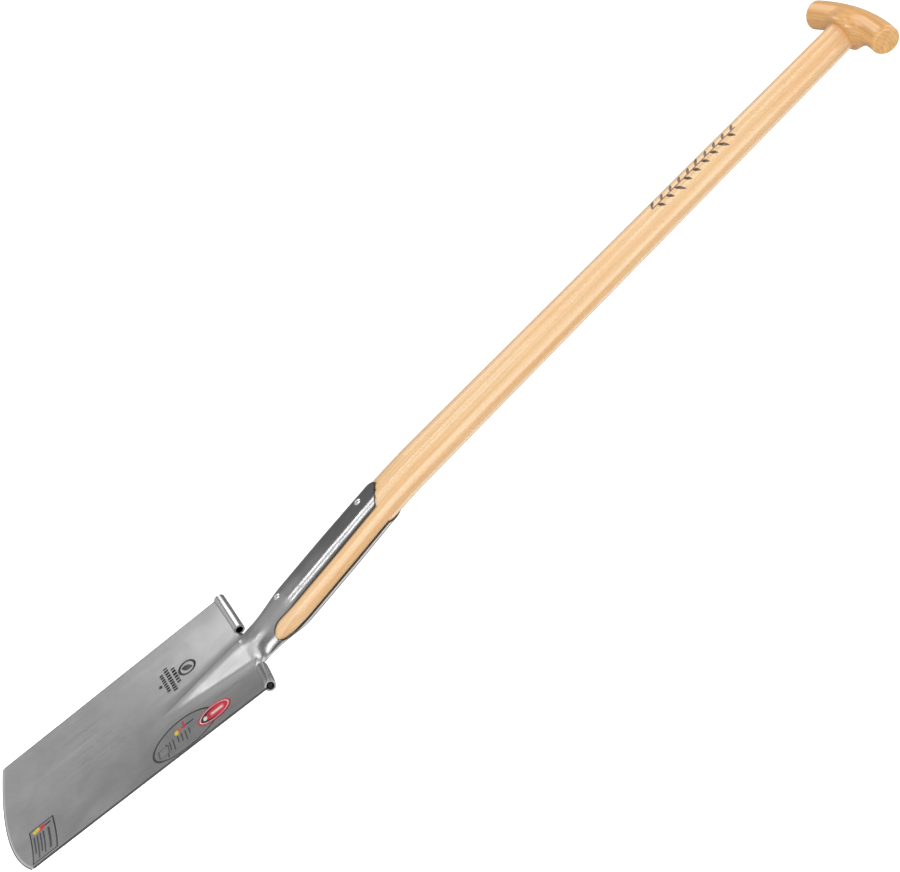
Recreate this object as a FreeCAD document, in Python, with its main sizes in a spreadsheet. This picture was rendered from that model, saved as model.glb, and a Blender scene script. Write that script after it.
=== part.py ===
import FreeCAD, Part
import math
import os
import Sketcher

# A garden spade with a T-grip. Its frame: +Z runs up along the straight upper shaft, -Y is the
# front (the hollow face of the blade), X runs across. The origin is the point where it hangs:
# on the shaft's axis, level with the underside of the T-grip's arms.

Vector = FreeCAD.Vector

# Millimetres and degrees. Each line is one cell of the sheet: alias, value, what it is.
SIZES = [
    ("blade_lean", 9.1, "angle of the blade's plane to the upper shaft"),
    ("socket_lean", 5.45, "angle of the shaft below its bend to the shaft above it"),
    ("bend_depth", 655.4, "from the origin down to the bend"),
    ("bend_length", 70.0, "length of shaft that the bend is spread over"),
    ("socket_length", 234.5, "along the shaft, from the bend down to the tread line"),
    ("socket_offset", 5.2, "shaft axis behind the blade at the tread line"),
    ("blade_top_width", 185.0, "blade across its treads"),
    ("blade_edge_width", 174.4, "blade across its cutting edge"),
    ("blade_side", 283.4, "length of the blade's straight sides"),
    ("edge_bow", 21.0, "how far the cutting edge bows below its corners"),
    ("dish_top", 16.4, "depth of the hollow at the treads"),
    ("dish_edge", 14.0, "depth of the hollow at the cutting edge"),
    ("sheet", 2.0, "steel thickness"),
    ("bevel_length", 9.0, "ground bevel along the cutting edge"),
    ("hump_length", 108.0, "raised cone below the treads, down to its point"),
    ("hump_rise", 17.8, "height of the cone at the treads"),
    ("hump_half", 40.0, "half width of the cone's foot at the treads"),
    ("flare_length", 26.0, "length of the neck's flare above the treads"),
    ("neck_radius", 20.5, "outside of the socket at its neck"),
    ("strap_radius", 23.5, "outside of the straps at their middle"),
    ("strap_top_radius", 22.5, "outside of the straps at their ends"),
    ("neck_height", 30.0, "neck above the treads, along the shaft"),
    ("front_strap_tip", 221.2, "front strap's point above the treads, along the shaft"),
    ("back_strap_tip", 217.2, "back strap's point above the treads, along the shaft"),
    ("strap_point", 20.0, "length of a strap's pointed end"),
    ("opening_foot", 34.8, "bottom of the side openings above the treads, along the shaft"),
    ("opening_front", 13.4, "front edge of the side openings, ahead of the axis"),
    ("opening_back", 11.4, "back edge of the side openings, behind the axis"),
    ("tongue_length", 78.0, "back tongue below the treads"),
    ("tongue_rise", 12.0, "how much more the tongue bulges at the treads than at its end"),
    ("tongue_end_rise", 1.5, "bulge of the tongue at its end"),
    ("round_back", 62.0, "height above which the socket's back is as round as its front"),
    ("shaft_radius", 20.6, "shaft at the bend"),
    ("shaft_top_radius", 16.2, "shaft under the grip"),
    ("shaft_tip_depth", 66.0, "shaft's pointed end below the treads"),
    ("grip_rise", 15.6, "arms' centre line above the origin, at the middle"),
    ("grip_half_length", 61.6, "half length of the T-grip"),
    ("grip_droop", 7.6, "how far the arms' ends droop"),
    ("arm_radius", 15.1, "radius of the arms"),
    ("arm_round", 3.5, "rounding of the arms' ends"),
    ("grip_turn", 2.5, "turn of the T-grip about the shaft, its left end forward"),
    ("boss_radius", 22.0, "radius of the boss around the shaft"),
    ("boss_depth", 2.9, "boss's lower face below the origin"),
    ("socket_step", 4.0, "how deep the shaft's full width goes into the boss"),
    ("tenon_radius", 12.0, "radius of the tenon on top of the shaft"),
    ("tenon_top", 19.0, "tenon's end above the origin"),
    ("pin_radius", 2.0, "radius of the grip's cross pin"),
    ("pin_length", 28.0, "length of the grip's cross pin"),
    ("pin_height", 8.0, "cross pin above the origin"),
    ("tread_radius", 6.1, "outside of a tread's rolled tube"),
    ("tread_wall", 1.7, "wall of a tread"),
    ("tread_inner", 40.0, "inner end of a tread, from the middle"),
    ("tread_rise", 4.6, "tread's centre above the blade's top edge"),
    ("tread_gap", 1.15, "half width of the slit that grips the sheet"),
    ("rivet_radius", 2.5, "rivet's shank"),
    ("rivet_head_radius", 4.6, "rivet's head"),
    ("rivet_head_height", 1.9, "height of a rivet's head"),
    ("upper_rivet", 194.6, "upper rivet above the treads, along the shaft"),
    ("lower_rivet", 66.7, "lower rivet above the treads, along the shaft"),
    ("weld_radius", 1.3, "radius of a weld bead"),
    ("label_thickness", 0.25, "thickness of a sticker"),
    ("oval_half_width", 33.5, "half width of the oval sticker"),
    ("oval_half_height", 39.5, "half height of the oval sticker"),
    ("oval_across", 56.5, "middle of the oval sticker, to the side"),
    ("oval_below", 94.5, "middle of the oval sticker below the treads"),
    ("badge_half_width", 16.5, "half width of the small badge on the oval sticker"),
    ("badge_half_height", 20.0, "half height of the badge"),
    ("badge_below", 58.0, "middle of the badge below the treads"),
    ("corner_half_width", 32.5, "half width of the sticker by the cutting edge"),
    ("corner_half_height", 15.0, "half height of the sticker by the cutting edge"),
    ("corner_across", 50.0, "middle of that sticker, to the side"),
    ("corner_below", 266.0, "middle of that sticker below the treads"),
]

document = FreeCAD.newDocument("garden_spade")
sheet = document.addObject("Spreadsheet::Sheet", "sizes")
for row, (alias, value, meaning) in enumerate(SIZES, start=1):
    sheet.set(f"A{row}", alias)
    sheet.set(f"B{row}", str(value))
    sheet.set(f"C{row}", meaning)
    sheet.setAlias(f"B{row}", alias)
document.recompute()
size = {alias: float(sheet.get(alias)) for alias, value, meaning in SIZES}


# ---- frames ----------------------------------------------------------------------------------

def tilt(angle):
    """A turn about X; a positive angle swings an upright line to the front."""
    return FreeCAD.Rotation(Vector(1, 0, 0), angle)


socket_angle = size["blade_lean"] + size["socket_lean"]
socket_turn = tilt(size["socket_lean"])
blade_turn = tilt(-size["blade_lean"])
bend_point = Vector(0, 0, -size["bend_depth"])
socket_foot = bend_point - socket_turn.multVec(Vector(0, 0, size["socket_length"]))
blade_origin = socket_foot - blade_turn.multVec(Vector(0, size["socket_offset"], 0))
# In the blade's frame the blade hangs below Z = 0, where the treads are.
BLADE_PLACE = FreeCAD.Placement(blade_origin, blade_turn)
# In the socket's frame the lower shaft runs along Z, from the tread line up.
SOCKET_PLACE = FreeCAD.Placement(socket_foot, socket_turn)
# The T-grip sits a little turned on the shaft.
GRIP_PLACE = FreeCAD.Placement(Vector(0, 0, 0), FreeCAD.Rotation(Vector(0, 0, 1), size["grip_turn"]))


# ---- helpers ---------------------------------------------------------------------------------

def ease(value, start, end):
    """0 before start, 1 after end, and a smooth step between."""
    part = min(1.0, max(0.0, (value - start) / (end - start)))
    return part * part * (3 - 2 * part)


def bell(value):
    """1 in the middle, falling smoothly to 0 at a distance of 1."""
    return math.cos(0.5 * math.pi * min(1.0, abs(value))) ** 2


def steps(first, last, count):
    return [first + (last - first) * index / (count - 1) for index in range(count)]


def normal_at(point, across, along):
    """Unit normal of the surface point(across, along), towards the front."""
    step = 1e-3
    side = point(across + step, along) - point(across - step, along)
    rise = point(across, along + step) - point(across, along - step)
    return side.cross(rise).normalize()


def skin(rows):
    surface = Part.BSplineSurface()
    surface.interpolate(rows)
    return surface


def sheet_solid(point, thickness, columns, rows, stand_off=0.0):
    """A closed sheet: point(across, along) is its middle, thickness(along) its thickness."""
    faces = []
    rims = []
    for side in (-1, 1):
        grid = []
        for along in rows:
            shift = stand_off + side * thickness(along) / 2
            grid.append([point(across, along) + normal_at(point, across, along) * shift
                         for across in columns])
        surface = skin(grid)
        faces.append(surface.toShape())
        first_u, last_u, first_v, last_v = surface.bounds()
        rims.append([surface.uIso(first_u), surface.vIso(last_v),
                     surface.uIso(last_u), surface.vIso(first_v)])
    for inner, outer in zip(*rims):
        faces.append(Part.makeRuledSurface(inner.toShape(), outer.toShape()))
    shell = Part.makeShell(faces)
    shell.sewShape(0.01)
    solid = Part.makeSolid(shell)
    if solid.Volume < 0:
        solid.reverse()
    return solid


def add_feature(name, shape, place):
    feature = document.addObject("Part::Feature", name)
    feature.Label = name
    feature.Shape = shape
    feature.Placement = place
    return feature


def add_body(name, place=None):
    body = document.addObject("PartDesign::Body", name)
    body.Label = name
    if place is not None:
        body.Placement = place
    return body


def origin_feature(body, role):
    return next(item for item in body.Origin.OriginFeatures if item.Role == role)


def add_sketch(body, name, plane):
    sketch = body.newObject("Sketcher::SketchObject", name)
    sketch.AttachmentSupport = [(origin_feature(body, plane), "")]
    sketch.MapMode = "FlatFace"
    return sketch


def bind(sketch, name, kind, *where, to):
    """Add a size constraint to a sketch and tie it to an expression on the sheet."""
    value = sketch.evalExpression(to)
    index = sketch.addConstraint(Sketcher.Constraint(kind, *where, float(value)))
    sketch.renameConstraint(index, name)
    sketch.setExpression(f"Constraints.{name}", to)


def polygon_sketch(body, name, plane, corners):
    """A closed outline; each corner is a pair of expressions, and "0" puts it on an axis."""
    sketch = add_sketch(body, name, plane)
    places = [Vector(*(float(sketch.evalExpression(to)) for to in corner), 0) for corner in corners]
    for start, end in zip(places, places[1:] + places[:1]):
        sketch.addGeometry(Part.LineSegment(start, end), False)
    last = len(corners) - 1
    for index, corner in enumerate(corners):
        sketch.addConstraint(Sketcher.Constraint("Coincident", index - 1 if index else last, 2, index, 1))
        for kind, axis, to in (("DistanceX", -2, corner[0]), ("DistanceY", -1, corner[1])):
            if to == "0":
                sketch.addConstraint(Sketcher.Constraint("PointOnObject", index, 1, axis))
            else:
                bind(sketch, f"{kind}_{index}", kind, -1, 1, index, 1, to=to)
    return sketch


def revolve(body, sketch, axis, angle=360.0, middle=False):
    turned = body.newObject("PartDesign::Revolution", body.Name + "_turned")
    turned.Profile = sketch
    turned.ReferenceAxis = (sketch, [axis])
    turned.Angle = angle
    turned.Midplane = middle
    return turned


# ---- the blade's surface -----------------------------------------------------------------------

def down(height):
    """How far down its sides a height lies: 0 at the treads, 1 at the corners."""
    return min(1.1, max(0.0, -height / size["blade_side"]))


def half_width(height):
    narrowing = size["blade_top_width"] - size["blade_edge_width"]
    return (size["blade_top_width"] - narrowing * down(height)) / 2


def dish(across, height):
    """The hollow: a round arc across the blade, its sides forward of its middle."""
    depth = size["dish_top"] + (size["dish_edge"] - size["dish_top"]) * down(height)
    radius = (half_width(height) ** 2 + depth ** 2) / (2 * depth)
    return -(radius - math.sqrt(radius ** 2 - across ** 2))


def hump(across, height):
    """The raised cone: a steep ridge on a wider, softer swelling, both fading to a point."""
    grown = max(0.0, 1 + height / size["hump_length"])
    spread = max(0.0, 1 + height / (1.15 * size["hump_length"]))
    ridge_foot = size["hump_half"] * (0.1 + 0.55 * grown)
    swell_foot = size["hump_half"] * (0.3 + 0.7 * spread)
    ridge = 0.76 * size["hump_rise"] * grown * bell(across / ridge_foot)
    swell = 0.24 * size["hump_rise"] * ease(spread, 0, 1) * bell(across / swell_foot)
    return ridge + swell


def blade_y(across, height):
    return dish(across, height) - hump(across, height)


def edge_height(across):
    """The cutting edge: a shallow curve between the corners."""
    return -size["blade_side"] - size["edge_bow"] * (1 - (2 * across / size["blade_edge_width"]) ** 2)


def blade_point(side, part):
    """side runs from -1 to 1 across the blade, part from 0 at the cutting edge to 1 at the top."""
    narrow = size["blade_edge_width"] / 2
    wide = size["blade_top_width"] / 2
    across = side * (narrow + (wide - narrow) * part)
    height = edge_height(side * narrow) * (1 - part)
    return Vector(across, blade_y(across, height), height)


def blade_thickness(part):
    bevel = size["bevel_length"] / (size["blade_side"] + size["edge_bow"])
    return size["sheet"] * (0.4 + 0.6 * min(1.0, part / bevel))


# ---- the socket and its straps, in the blade's frame -------------------------------------------

def socket_radius(along):
    """Outside radius: waisted at the neck, full at the middle of the straps."""
    throat = 1.5 * (1 - ease(along, 0, size["neck_height"]))
    waist = size["neck_radius"] + throat
    swell = (size["strap_radius"] - size["neck_radius"]) * ease(along, size["neck_height"], 75)
    taper = (size["strap_radius"] - size["strap_top_radius"]) * ease(along, 130, size["front_strap_tip"])
    return waist + swell - taper


def back_depth(along):
    """The socket's back half against its front: flattened at the treads, round further up."""
    return 1 - BACK_FLATTENING * (1 - min(1.0, max(0.0, along / size["round_back"]))) ** FLATTENING_FADE


def tube_point(angle, along, radius):
    """A point around the lower shaft; the angle is counted from the front."""
    turn = tilt(socket_angle)
    spoke = Vector(math.sin(angle), -math.cos(angle), 0) * radius
    if spoke.y > 0:
        spoke.y *= back_depth(along)
    return Vector(0, size["socket_offset"], 0) + turn.multVec(spoke + Vector(0, 0, along))


def flare(along):
    """0 at the treads, where the neck is as wide as the cone, to 1 where it is a round tube."""
    return 1 - (1 - min(1.0, max(0.0, along) / size["flare_length"])) ** FLARE_POWER


def neck_point(side, along):
    """Middle of the front shell: the cone's section flows into half a tube."""
    across = size["hump_half"] * side
    foot = Vector(across, blade_y(across, along), along)
    tube = tube_point(side * HALF_TURN, along, socket_radius(along) - size["sheet"] / 2)
    return foot * (1 - flare(along)) + tube * flare(along)


def tongue_half(height):
    return size["hump_half"] * (0.3 + 0.7 * min(1.0, 1 + height / size["tongue_length"]))


def tongue_point(side, along):
    """Middle of the back shell: a swelling tongue on the blade's back, then half a tube."""
    half = tongue_half(along)
    lap = blade_y(half, along) + size["sheet"] + LAP_GAP
    rise = size["tongue_end_rise"] + size["tongue_rise"] * min(1.0, 1 + along / size["tongue_length"])
    foot = Vector(half * side, lap + rise * bell(side), along)
    tube = tube_point(math.pi - side * HALF_TURN, along, socket_radius(along) - size["sheet"] / 2)
    return foot * (1 - flare(along)) + tube * flare(along)


HALF_TURN = math.radians(89.6)
BACK_FLATTENING = 0.65
FLATTENING_FADE = 1.3
FLARE_POWER = 2.2
LAP_GAP = 0.1
STRAP_TOOL_WIDTH = 80.0


def strap_sheet(along):
    return size["sheet"] - 0.2


def prism(points, depth, place):
    """A solid pushed out of a closed outline, put in place."""
    solid = Part.Face(Part.makePolygon(points + points[:1])).extrude(depth)
    solid.Placement = place
    return solid


def in_blade_frame(shape):
    """Bring a tool made along the lower shaft into the blade's frame."""
    lean = FreeCAD.Placement(Vector(0, size["socket_offset"], 0), tilt(socket_angle))
    shape.Placement = lean * shape.Placement
    return shape


def opening_tool():
    """The side openings: a slot right across the socket, round at its foot and open at the top."""
    front, back = -size["opening_front"], size["opening_back"]
    radius = (back - front) / 2
    middle = (back + front) / 2
    foot = size["opening_foot"]
    width = STRAP_TOOL_WIDTH
    top = size["front_strap_tip"] + 20
    shoulder = foot + 1.5 * radius
    slot = Part.makeBox(width, back - front, top - shoulder, Vector(-width / 2, front, shoulder))
    end = Part.makeCylinder(radius, width, Vector(-width / 2, 0, 0), Vector(1, 0, 0))
    stretch = FreeCAD.Matrix()
    stretch.scale(1, 1, 1.5)
    end = end.transformGeometry(stretch)
    end.translate(Vector(0, middle, shoulder))
    return in_blade_frame(slot.fuse(end))


def point_tool(tip):
    """Everything above a strap's pointed end."""
    half = STRAP_TOOL_WIDTH / 2
    drop = size["strap_point"] * half / (0.88 * size["strap_top_radius"])
    outline = [Vector(0, -half, tip), Vector(half, -half, tip - drop), Vector(half, -half, tip + half),
               Vector(-half, -half, tip + half), Vector(-half, -half, tip - drop)]
    return in_blade_frame(prism(outline, Vector(0, 2 * half, 0), FreeCAD.Placement()))


def rivet_tool():
    """Holes for both rivets' shanks, with a flat seat under each head."""
    tools = []
    for along in (size["upper_rivet"], size["lower_rivet"]):
        reach = rivet_reach(along)
        tools.append(Part.makeCylinder(size["rivet_radius"], 80, Vector(0, -40, along), Vector(0, 1, 0)))
        for facing in (-1, 1):
            seat = Vector(0, facing * reach, along)
            tools.append(Part.makeCylinder(size["rivet_head_radius"] + 0.1, 10, seat, Vector(0, facing, 0)))
    return tools


def rivet_reach(along):
    """Distance from the shaft's axis to the seat under a rivet's head."""
    return socket_radius(along) - 0.5


def socket_shell(point, first, tip):
    """One shell of the socket, with its strap cut to shape."""
    columns = steps(-1, 1, 25)
    rows = steps(first, 0, 1 + max(2, round(-first / 6))) + steps(3, 33, 11) + steps(40, tip + 6, 24)
    shell = sheet_solid(point, strap_sheet, columns, rows)
    tools = [in_blade_frame(tool) for tool in rivet_tool()]
    return shell.cut([opening_tool(), point_tool(tip)] + tools)


def make_blade():
    spread = [mark * (0.55 + 0.45 * mark * mark) for mark in steps(-1, 1, 45)]
    plate = sheet_solid(blade_point, blade_thickness, spread, steps(0, 1, 36))
    front = socket_shell(neck_point, -4.0, size["front_strap_tip"])
    return plate.fuse(front).removeSplitter()


def make_back_strap():
    return socket_shell(tongue_point, -size["tongue_length"], size["back_strap_tip"])


# ---- shaft -------------------------------------------------------------------------------------

def ring(centre, turn, half_across, front, back):
    """A closed section of two half ovals, turned to face along the shaft."""
    circle = Part.Circle(Vector(0, 0, 0), Vector(0, 0, 1), 1)
    halves = []
    for start, deep in ((math.pi, front), (0, back)):
        stretch = FreeCAD.Matrix()
        stretch.scale(half_across, deep, 1)
        halves.append(Part.ArcOfCircle(circle, start, start + math.pi).toShape().transformGeometry(stretch))
    oval = Part.Wire(halves)
    oval.Placement = FreeCAD.Placement(centre, turn)
    return oval


def make_shaft():
    """Ash, round from the grip to the neck, bent once, and pointed inside the socket."""
    tangent = size["bend_length"] / 2
    top = size["socket_step"] - size["boss_depth"]
    bend_top = -size["bend_depth"] + tangent
    foot = Vector(0, 0, bend_top)
    full = size["shaft_radius"]
    upper = Part.makeCone(full, size["shaft_top_radius"], top - bend_top, foot)
    bend_radius = tangent / math.tan(math.radians(size["socket_lean"]) / 2)
    section = Part.Face(ring(foot, FreeCAD.Rotation(), full, full, full))
    bend = section.revolve(Vector(0, bend_radius, bend_top), Vector(1, 0, 0), size["socket_lean"])
    sections = []
    start = size["socket_length"] - tangent
    for along in steps(start, size["neck_height"], 12):
        radius = socket_radius(along) - size["sheet"] - FIT_GAP + 0.2 * ease(along, start - 15, start)
        skin_inside = size["sheet"] / 2 + FIT_GAP
        back = (radius + skin_inside) * back_depth(along) - skin_inside
        sections.append(ring(SOCKET_PLACE.multVec(Vector(0, 0, along)), socket_turn, radius, radius, back))
    for part in steps(0, 1, 5):
        middle, across, deep = (wide + (slim - wide) * part for wide, slim in zip(SOCKET_FILL, SHAFT_TIP))
        place = BLADE_PLACE.multVec(Vector(0, middle, -size["shaft_tip_depth"] * part))
        sections.append(ring(place, blade_turn, across, deep, deep))
    shaft = upper.fuse([bend, Part.makeLoft(sections, True)])
    tenon = Part.makeCylinder(size["tenon_radius"], size["tenon_top"] - top, Vector(0, 0, top))
    shaft = shaft.fuse(tenon)
    holes = [grip_pin_hole()]
    for tool in rivet_tool()[::3]:
        tool.Placement = SOCKET_PLACE * tool.Placement
        holes.append(tool)
    return shaft.cut(holes)


FIT_GAP = 0.1
# The wood in the socket, at the treads and at its end: its middle behind the blade, half across, half deep.
SOCKET_FILL = (-2.0, 16.0, 11.0)
SHAFT_TIP = (-1.2, 3.8, 3.8)


def grip_pin_hole():
    start = Vector(0, size["boss_radius"] - size["pin_length"], size["pin_height"])
    hole = Part.makeCylinder(size["pin_radius"], size["pin_length"] + 5, start, Vector(0, 1, 0))
    hole.Placement = GRIP_PLACE * hole.Placement
    return hole


# ---- T-grip ------------------------------------------------------------------------------------

def make_grip():
    """Arched arms turned about a far axis, a domed boss, and a stepped blind mortise from below."""
    body = add_body("t_grip", GRIP_PLACE)
    arc = "(sizes.grip_half_length ^ 2 + sizes.grip_droop ^ 2) / (2 * sizes.grip_droop)"
    arms = add_sketch(body, "arm_section", "YZ_Plane")
    arms.addGeometry(Part.Circle(Vector(0, size["grip_rise"], 0), Vector(0, 0, 1), size["arm_radius"]), False)
    arms.addGeometry(Part.LineSegment(Vector(-10, -200, 0), Vector(10, -200, 0)), True)
    arms.addConstraint(Sketcher.Constraint("PointOnObject", 0, 3, -2))
    arms.addConstraint(Sketcher.Constraint("Horizontal", 1))
    bind(arms, "rise", "DistanceY", -1, 1, 0, 3, to="sizes.grip_rise")
    bind(arms, "radius", "Radius", 0, to="sizes.arm_radius")
    bind(arms, "far_axis", "DistanceY", 1, 1, 0, 3, to=arc)
    bind(arms, "axis_start", "DistanceX", 1, 1, -1, 1, to="10")
    bind(arms, "axis_end", "DistanceX", -1, 1, 1, 2, to="10")
    turned = revolve(body, arms, "Axis0", middle=True)
    turned.setExpression("Angle", f"2 * atan(sizes.grip_half_length / ({arc} - sizes.grip_droop))")
    document.recompute()
    ends = [f"Edge{index}" for index, edge in enumerate(turned.Shape.Edges, start=1)
            if isinstance(edge.Curve, Part.Circle) and abs(edge.Curve.Radius - size["arm_radius"]) < 0.01]
    rounded = body.newObject("PartDesign::Fillet", "arm_ends")
    rounded.Base = (turned, ends)
    rounded.setExpression("Radius", "sizes.arm_round")
    dome = body.newObject("PartDesign::AdditiveEllipsoid", "boss_dome")
    dome.setExpression("Radius1", "sizes.grip_rise + sizes.arm_radius - sizes.boss_depth - 3")
    dome.setExpression("Radius2", "sizes.boss_radius")
    dome.setExpression("Radius3", "sizes.boss_radius")
    dome.Angle1 = 0
    neck = add_sketch(body, "boss_circle", "XY_Plane")
    neck.addGeometry(Part.Circle(Vector(0, 0, 0), Vector(0, 0, 1), size["boss_radius"]), False)
    neck.addConstraint(Sketcher.Constraint("Coincident", 0, 3, -1, 1))
    bind(neck, "radius", "Radius", 0, to="sizes.boss_radius")
    collar = body.newObject("PartDesign::Pad", "boss_collar")
    collar.Profile = neck
    collar.Reversed = True
    collar.setExpression("Length", "sizes.boss_depth")
    document.recompute()
    steps_inside = (("shaft_seat", "sizes.shaft_top_radius + 0.05", "sizes.socket_step - sizes.boss_depth"),
                    ("mortise", "sizes.tenon_radius", "sizes.tenon_top"))
    for name, radius, top in steps_inside:
        circle = add_sketch(body, name + "_circle", "XY_Plane")
        circle.AttachmentOffset = FreeCAD.Placement(Vector(0, 0, -size["boss_depth"]), FreeCAD.Rotation())
        circle.setExpression("AttachmentOffset.Base.z", "-sizes.boss_depth")
        circle.addGeometry(Part.Circle(Vector(0, 0, 0), Vector(0, 0, 1), 5), False)
        circle.addConstraint(Sketcher.Constraint("Coincident", 0, 3, -1, 1))
        bind(circle, "radius", "Radius", 0, to=radius)
        pocket = body.newObject("PartDesign::Pocket", name)
        pocket.Profile = circle
        pocket.Reversed = True
        pocket.setExpression("Length", f"{top} + sizes.boss_depth")
        document.recompute()
    bore = add_sketch(body, "pin_circle", "XZ_Plane")
    middle = Vector(0, size["pin_height"], 0)
    bore.addGeometry(Part.Circle(middle, Vector(0, 0, 1), size["pin_radius"]), False)
    bore.addConstraint(Sketcher.Constraint("PointOnObject", 0, 3, -2))
    bind(bore, "height", "DistanceY", -1, 1, 0, 3, to="sizes.pin_height")
    bind(bore, "radius", "Radius", 0, to="sizes.pin_radius")
    drilled = body.newObject("PartDesign::Pocket", "pin_bore")
    drilled.Profile = bore
    drilled.SideType = "Two sides"
    drilled.setExpression("Length", "sizes.boss_radius + 5")
    drilled.setExpression("Length2", "sizes.pin_length - sizes.boss_radius")
    return body


def make_grip_pin():
    """A steel pin driven through the boss and the tenon from the back, flush and out of sight."""
    place = FreeCAD.Placement(Vector(0, size["boss_radius"] - PIN_SUNK, size["pin_height"]), tilt(90))
    body = add_body("grip_pin", GRIP_PLACE * place)
    circle = add_sketch(body, "pin_section", "XY_Plane")
    circle.addGeometry(Part.Circle(Vector(0, 0, 0), Vector(0, 0, 1), size["pin_radius"]), False)
    circle.addConstraint(Sketcher.Constraint("Coincident", 0, 3, -1, 1))
    bind(circle, "radius", "Radius", 0, to="sizes.pin_radius")
    pad = body.newObject("PartDesign::Pad", "pin_length")
    pad.Profile = circle
    pad.setExpression("Length", f"sizes.pin_length - {PIN_SUNK}")
    return body


PIN_SUNK = 1.4


# ---- treads, rivets, welds, stickers -----------------------------------------------------------

def make_tread(name, mirrored):
    """A tube slit along its length and rolled to the blade's curve, gripping its top edge."""
    half, depth = "sizes.blade_top_width / 2", "sizes.dish_top"
    bend = f"(({half}) ^ 2 + {depth} ^ 2) / (2 * {depth})"
    radius = ((size["blade_top_width"] / 2) ** 2 + size["dish_top"] ** 2) / (2 * size["dish_top"])
    inner = math.degrees(math.asin(size["tread_inner"] / radius))
    outer = math.degrees(math.asin(size["blade_top_width"] / 2 / radius))
    first = -90 - outer if mirrored else -90 + inner
    swing = FreeCAD.Placement(Vector(0, -radius, 0), FreeCAD.Rotation(Vector(0, 0, 1), first + 180))
    body = add_body(name, BLADE_PLACE * swing)
    sketch = add_sketch(body, name + "_section", "XZ_Plane")
    gap, rise = size["tread_gap"], size["tread_rise"]
    angles = []
    walls = (size["tread_radius"], size["tread_radius"] - size["tread_wall"])
    for wall in walls:
        angle = math.asin(gap / wall)
        angles.append(angle)
        circle = Part.Circle(Vector(radius, rise, 0), Vector(0, 0, 1), wall)
        sketch.addGeometry(Part.ArcOfCircle(circle, -math.pi / 2 + angle, 1.5 * math.pi - angle), False)
    for side in (1, -1):
        tops = [Vector(radius + side * gap, rise - wall * math.cos(angle), 0)
                for wall, angle in zip(walls, angles)]
        sketch.addGeometry(Part.LineSegment(*tops), False)
    sketch.addConstraint(Sketcher.Constraint("Coincident", 0, 3, 1, 3))
    for line, end in ((2, 1), (3, 2)):
        sketch.addConstraint(Sketcher.Constraint("Coincident", 0, end, line, 1))
        sketch.addConstraint(Sketcher.Constraint("Coincident", 1, end, line, 2))
        sketch.addConstraint(Sketcher.Constraint("Vertical", line))
    bind(sketch, "bend", "DistanceX", -1, 1, 0, 3, to=bend)
    bind(sketch, "rise", "DistanceY", -1, 1, 0, 3, to="sizes.tread_rise")
    bind(sketch, "outside", "Radius", 0, to="sizes.tread_radius")
    bind(sketch, "inside", "Radius", 1, to="sizes.tread_radius - sizes.tread_wall")
    bind(sketch, "slit_near", "DistanceX", 0, 3, 2, 1, to="sizes.tread_gap")
    bind(sketch, "slit_far", "DistanceX", 3, 1, 0, 3, to="sizes.tread_gap")
    rolled = revolve(body, sketch, "V_Axis")
    rolled.setExpression("Angle", f"asin({half} / ({bend})) - asin(sizes.tread_inner / ({bend}))")
    return body


def make_rivet(name, along):
    """A shank through both straps and the shaft, with a chamfered head at each end."""
    turn = FreeCAD.Placement(Vector(0, 0, size[along]), tilt(90))
    body = add_body(name, SOCKET_PLACE * turn)
    reach = f"{rivet_reach(size[along]):.3f}"
    head, shank, height = "sizes.rivet_head_radius", "sizes.rivet_radius", "sizes.rivet_head_height"
    half = [("0", f"{reach} + {height}"), (f"0.55 * {head}", f"{reach} + {height}"),
            (head, f"{reach} + 0.4 * {height}"), (head, reach), (shank, reach)]
    corners = half + [(across, f"-({up})") for across, up in reversed(half)]
    sketch = polygon_sketch(body, name + "_profile", "XZ_Plane", corners)
    revolve(body, sketch, "V_Axis")
    return body


def bead(points):
    """A round weld bead through a row of points."""
    rings = []
    for index, point in enumerate(points):
        ahead = points[min(index + 1, len(points) - 1)] - points[max(index - 1, 0)]
        rings.append(Part.Wire([Part.Circle(point, ahead, size["weld_radius"]).toShape()]))
    return Part.makeLoft(rings, True)


def make_neck_welds():
    """One bead up each side of the neck, where the front and back shells meet."""
    beads = []
    for side in (-1, 1):
        route = []
        for along in steps(2.0, size["opening_foot"] - 3, 7):
            meeting = (neck_point(side, along) + tongue_point(side, along)) * 0.5
            route.append(meeting + Vector(side * 1.2, 0, 0))
        beads.append(bead(route))
    return Part.makeCompound(beads)


def make_tongue_weld():
    """Three beads around the tongue, on the blade's back: down each side and across its foot."""
    low = -size["tongue_length"]
    lift = size["sheet"] / 2 + size["weld_radius"]
    beads = []
    for side in (-1, 1):
        route = []
        for height in steps(-4.0, low, 8):
            half = side * (tongue_half(height) + 1.0)
            route.append(Vector(half, blade_y(half, height) + lift, height))
        beads.append(bead(route))
    reach = tongue_half(low) - 1.0
    beads.append(bead([Vector(part * reach, blade_y(part * reach, low - 1) + lift, low - 1.4)
                       for part in steps(-1, 1, 5)]))
    return Part.makeCompound(beads)


def sticker(outline, across, below, half_across, half_up, layer):
    """A thin film that follows the blade's front, trimmed to an outline."""
    def film(side, part):
        reach = across + 1.1 * half_across * side
        height = -below + 1.1 * half_up * part
        return Vector(reach, blade_y(reach, height), height)

    thick = size["label_thickness"]
    lift = size["sheet"] / 2 + thick * (layer + 0.5) + 0.02
    patch = sheet_solid(film, lambda part: thick, steps(-1, 1, 9), steps(-1, 1, 9), stand_off=lift)
    cutter = Part.Face(Part.Wire(outline)).extrude(Vector(0, 120, 0))
    cutter.translate(Vector(across, -80, -below))
    return patch.common(cutter)


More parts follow.
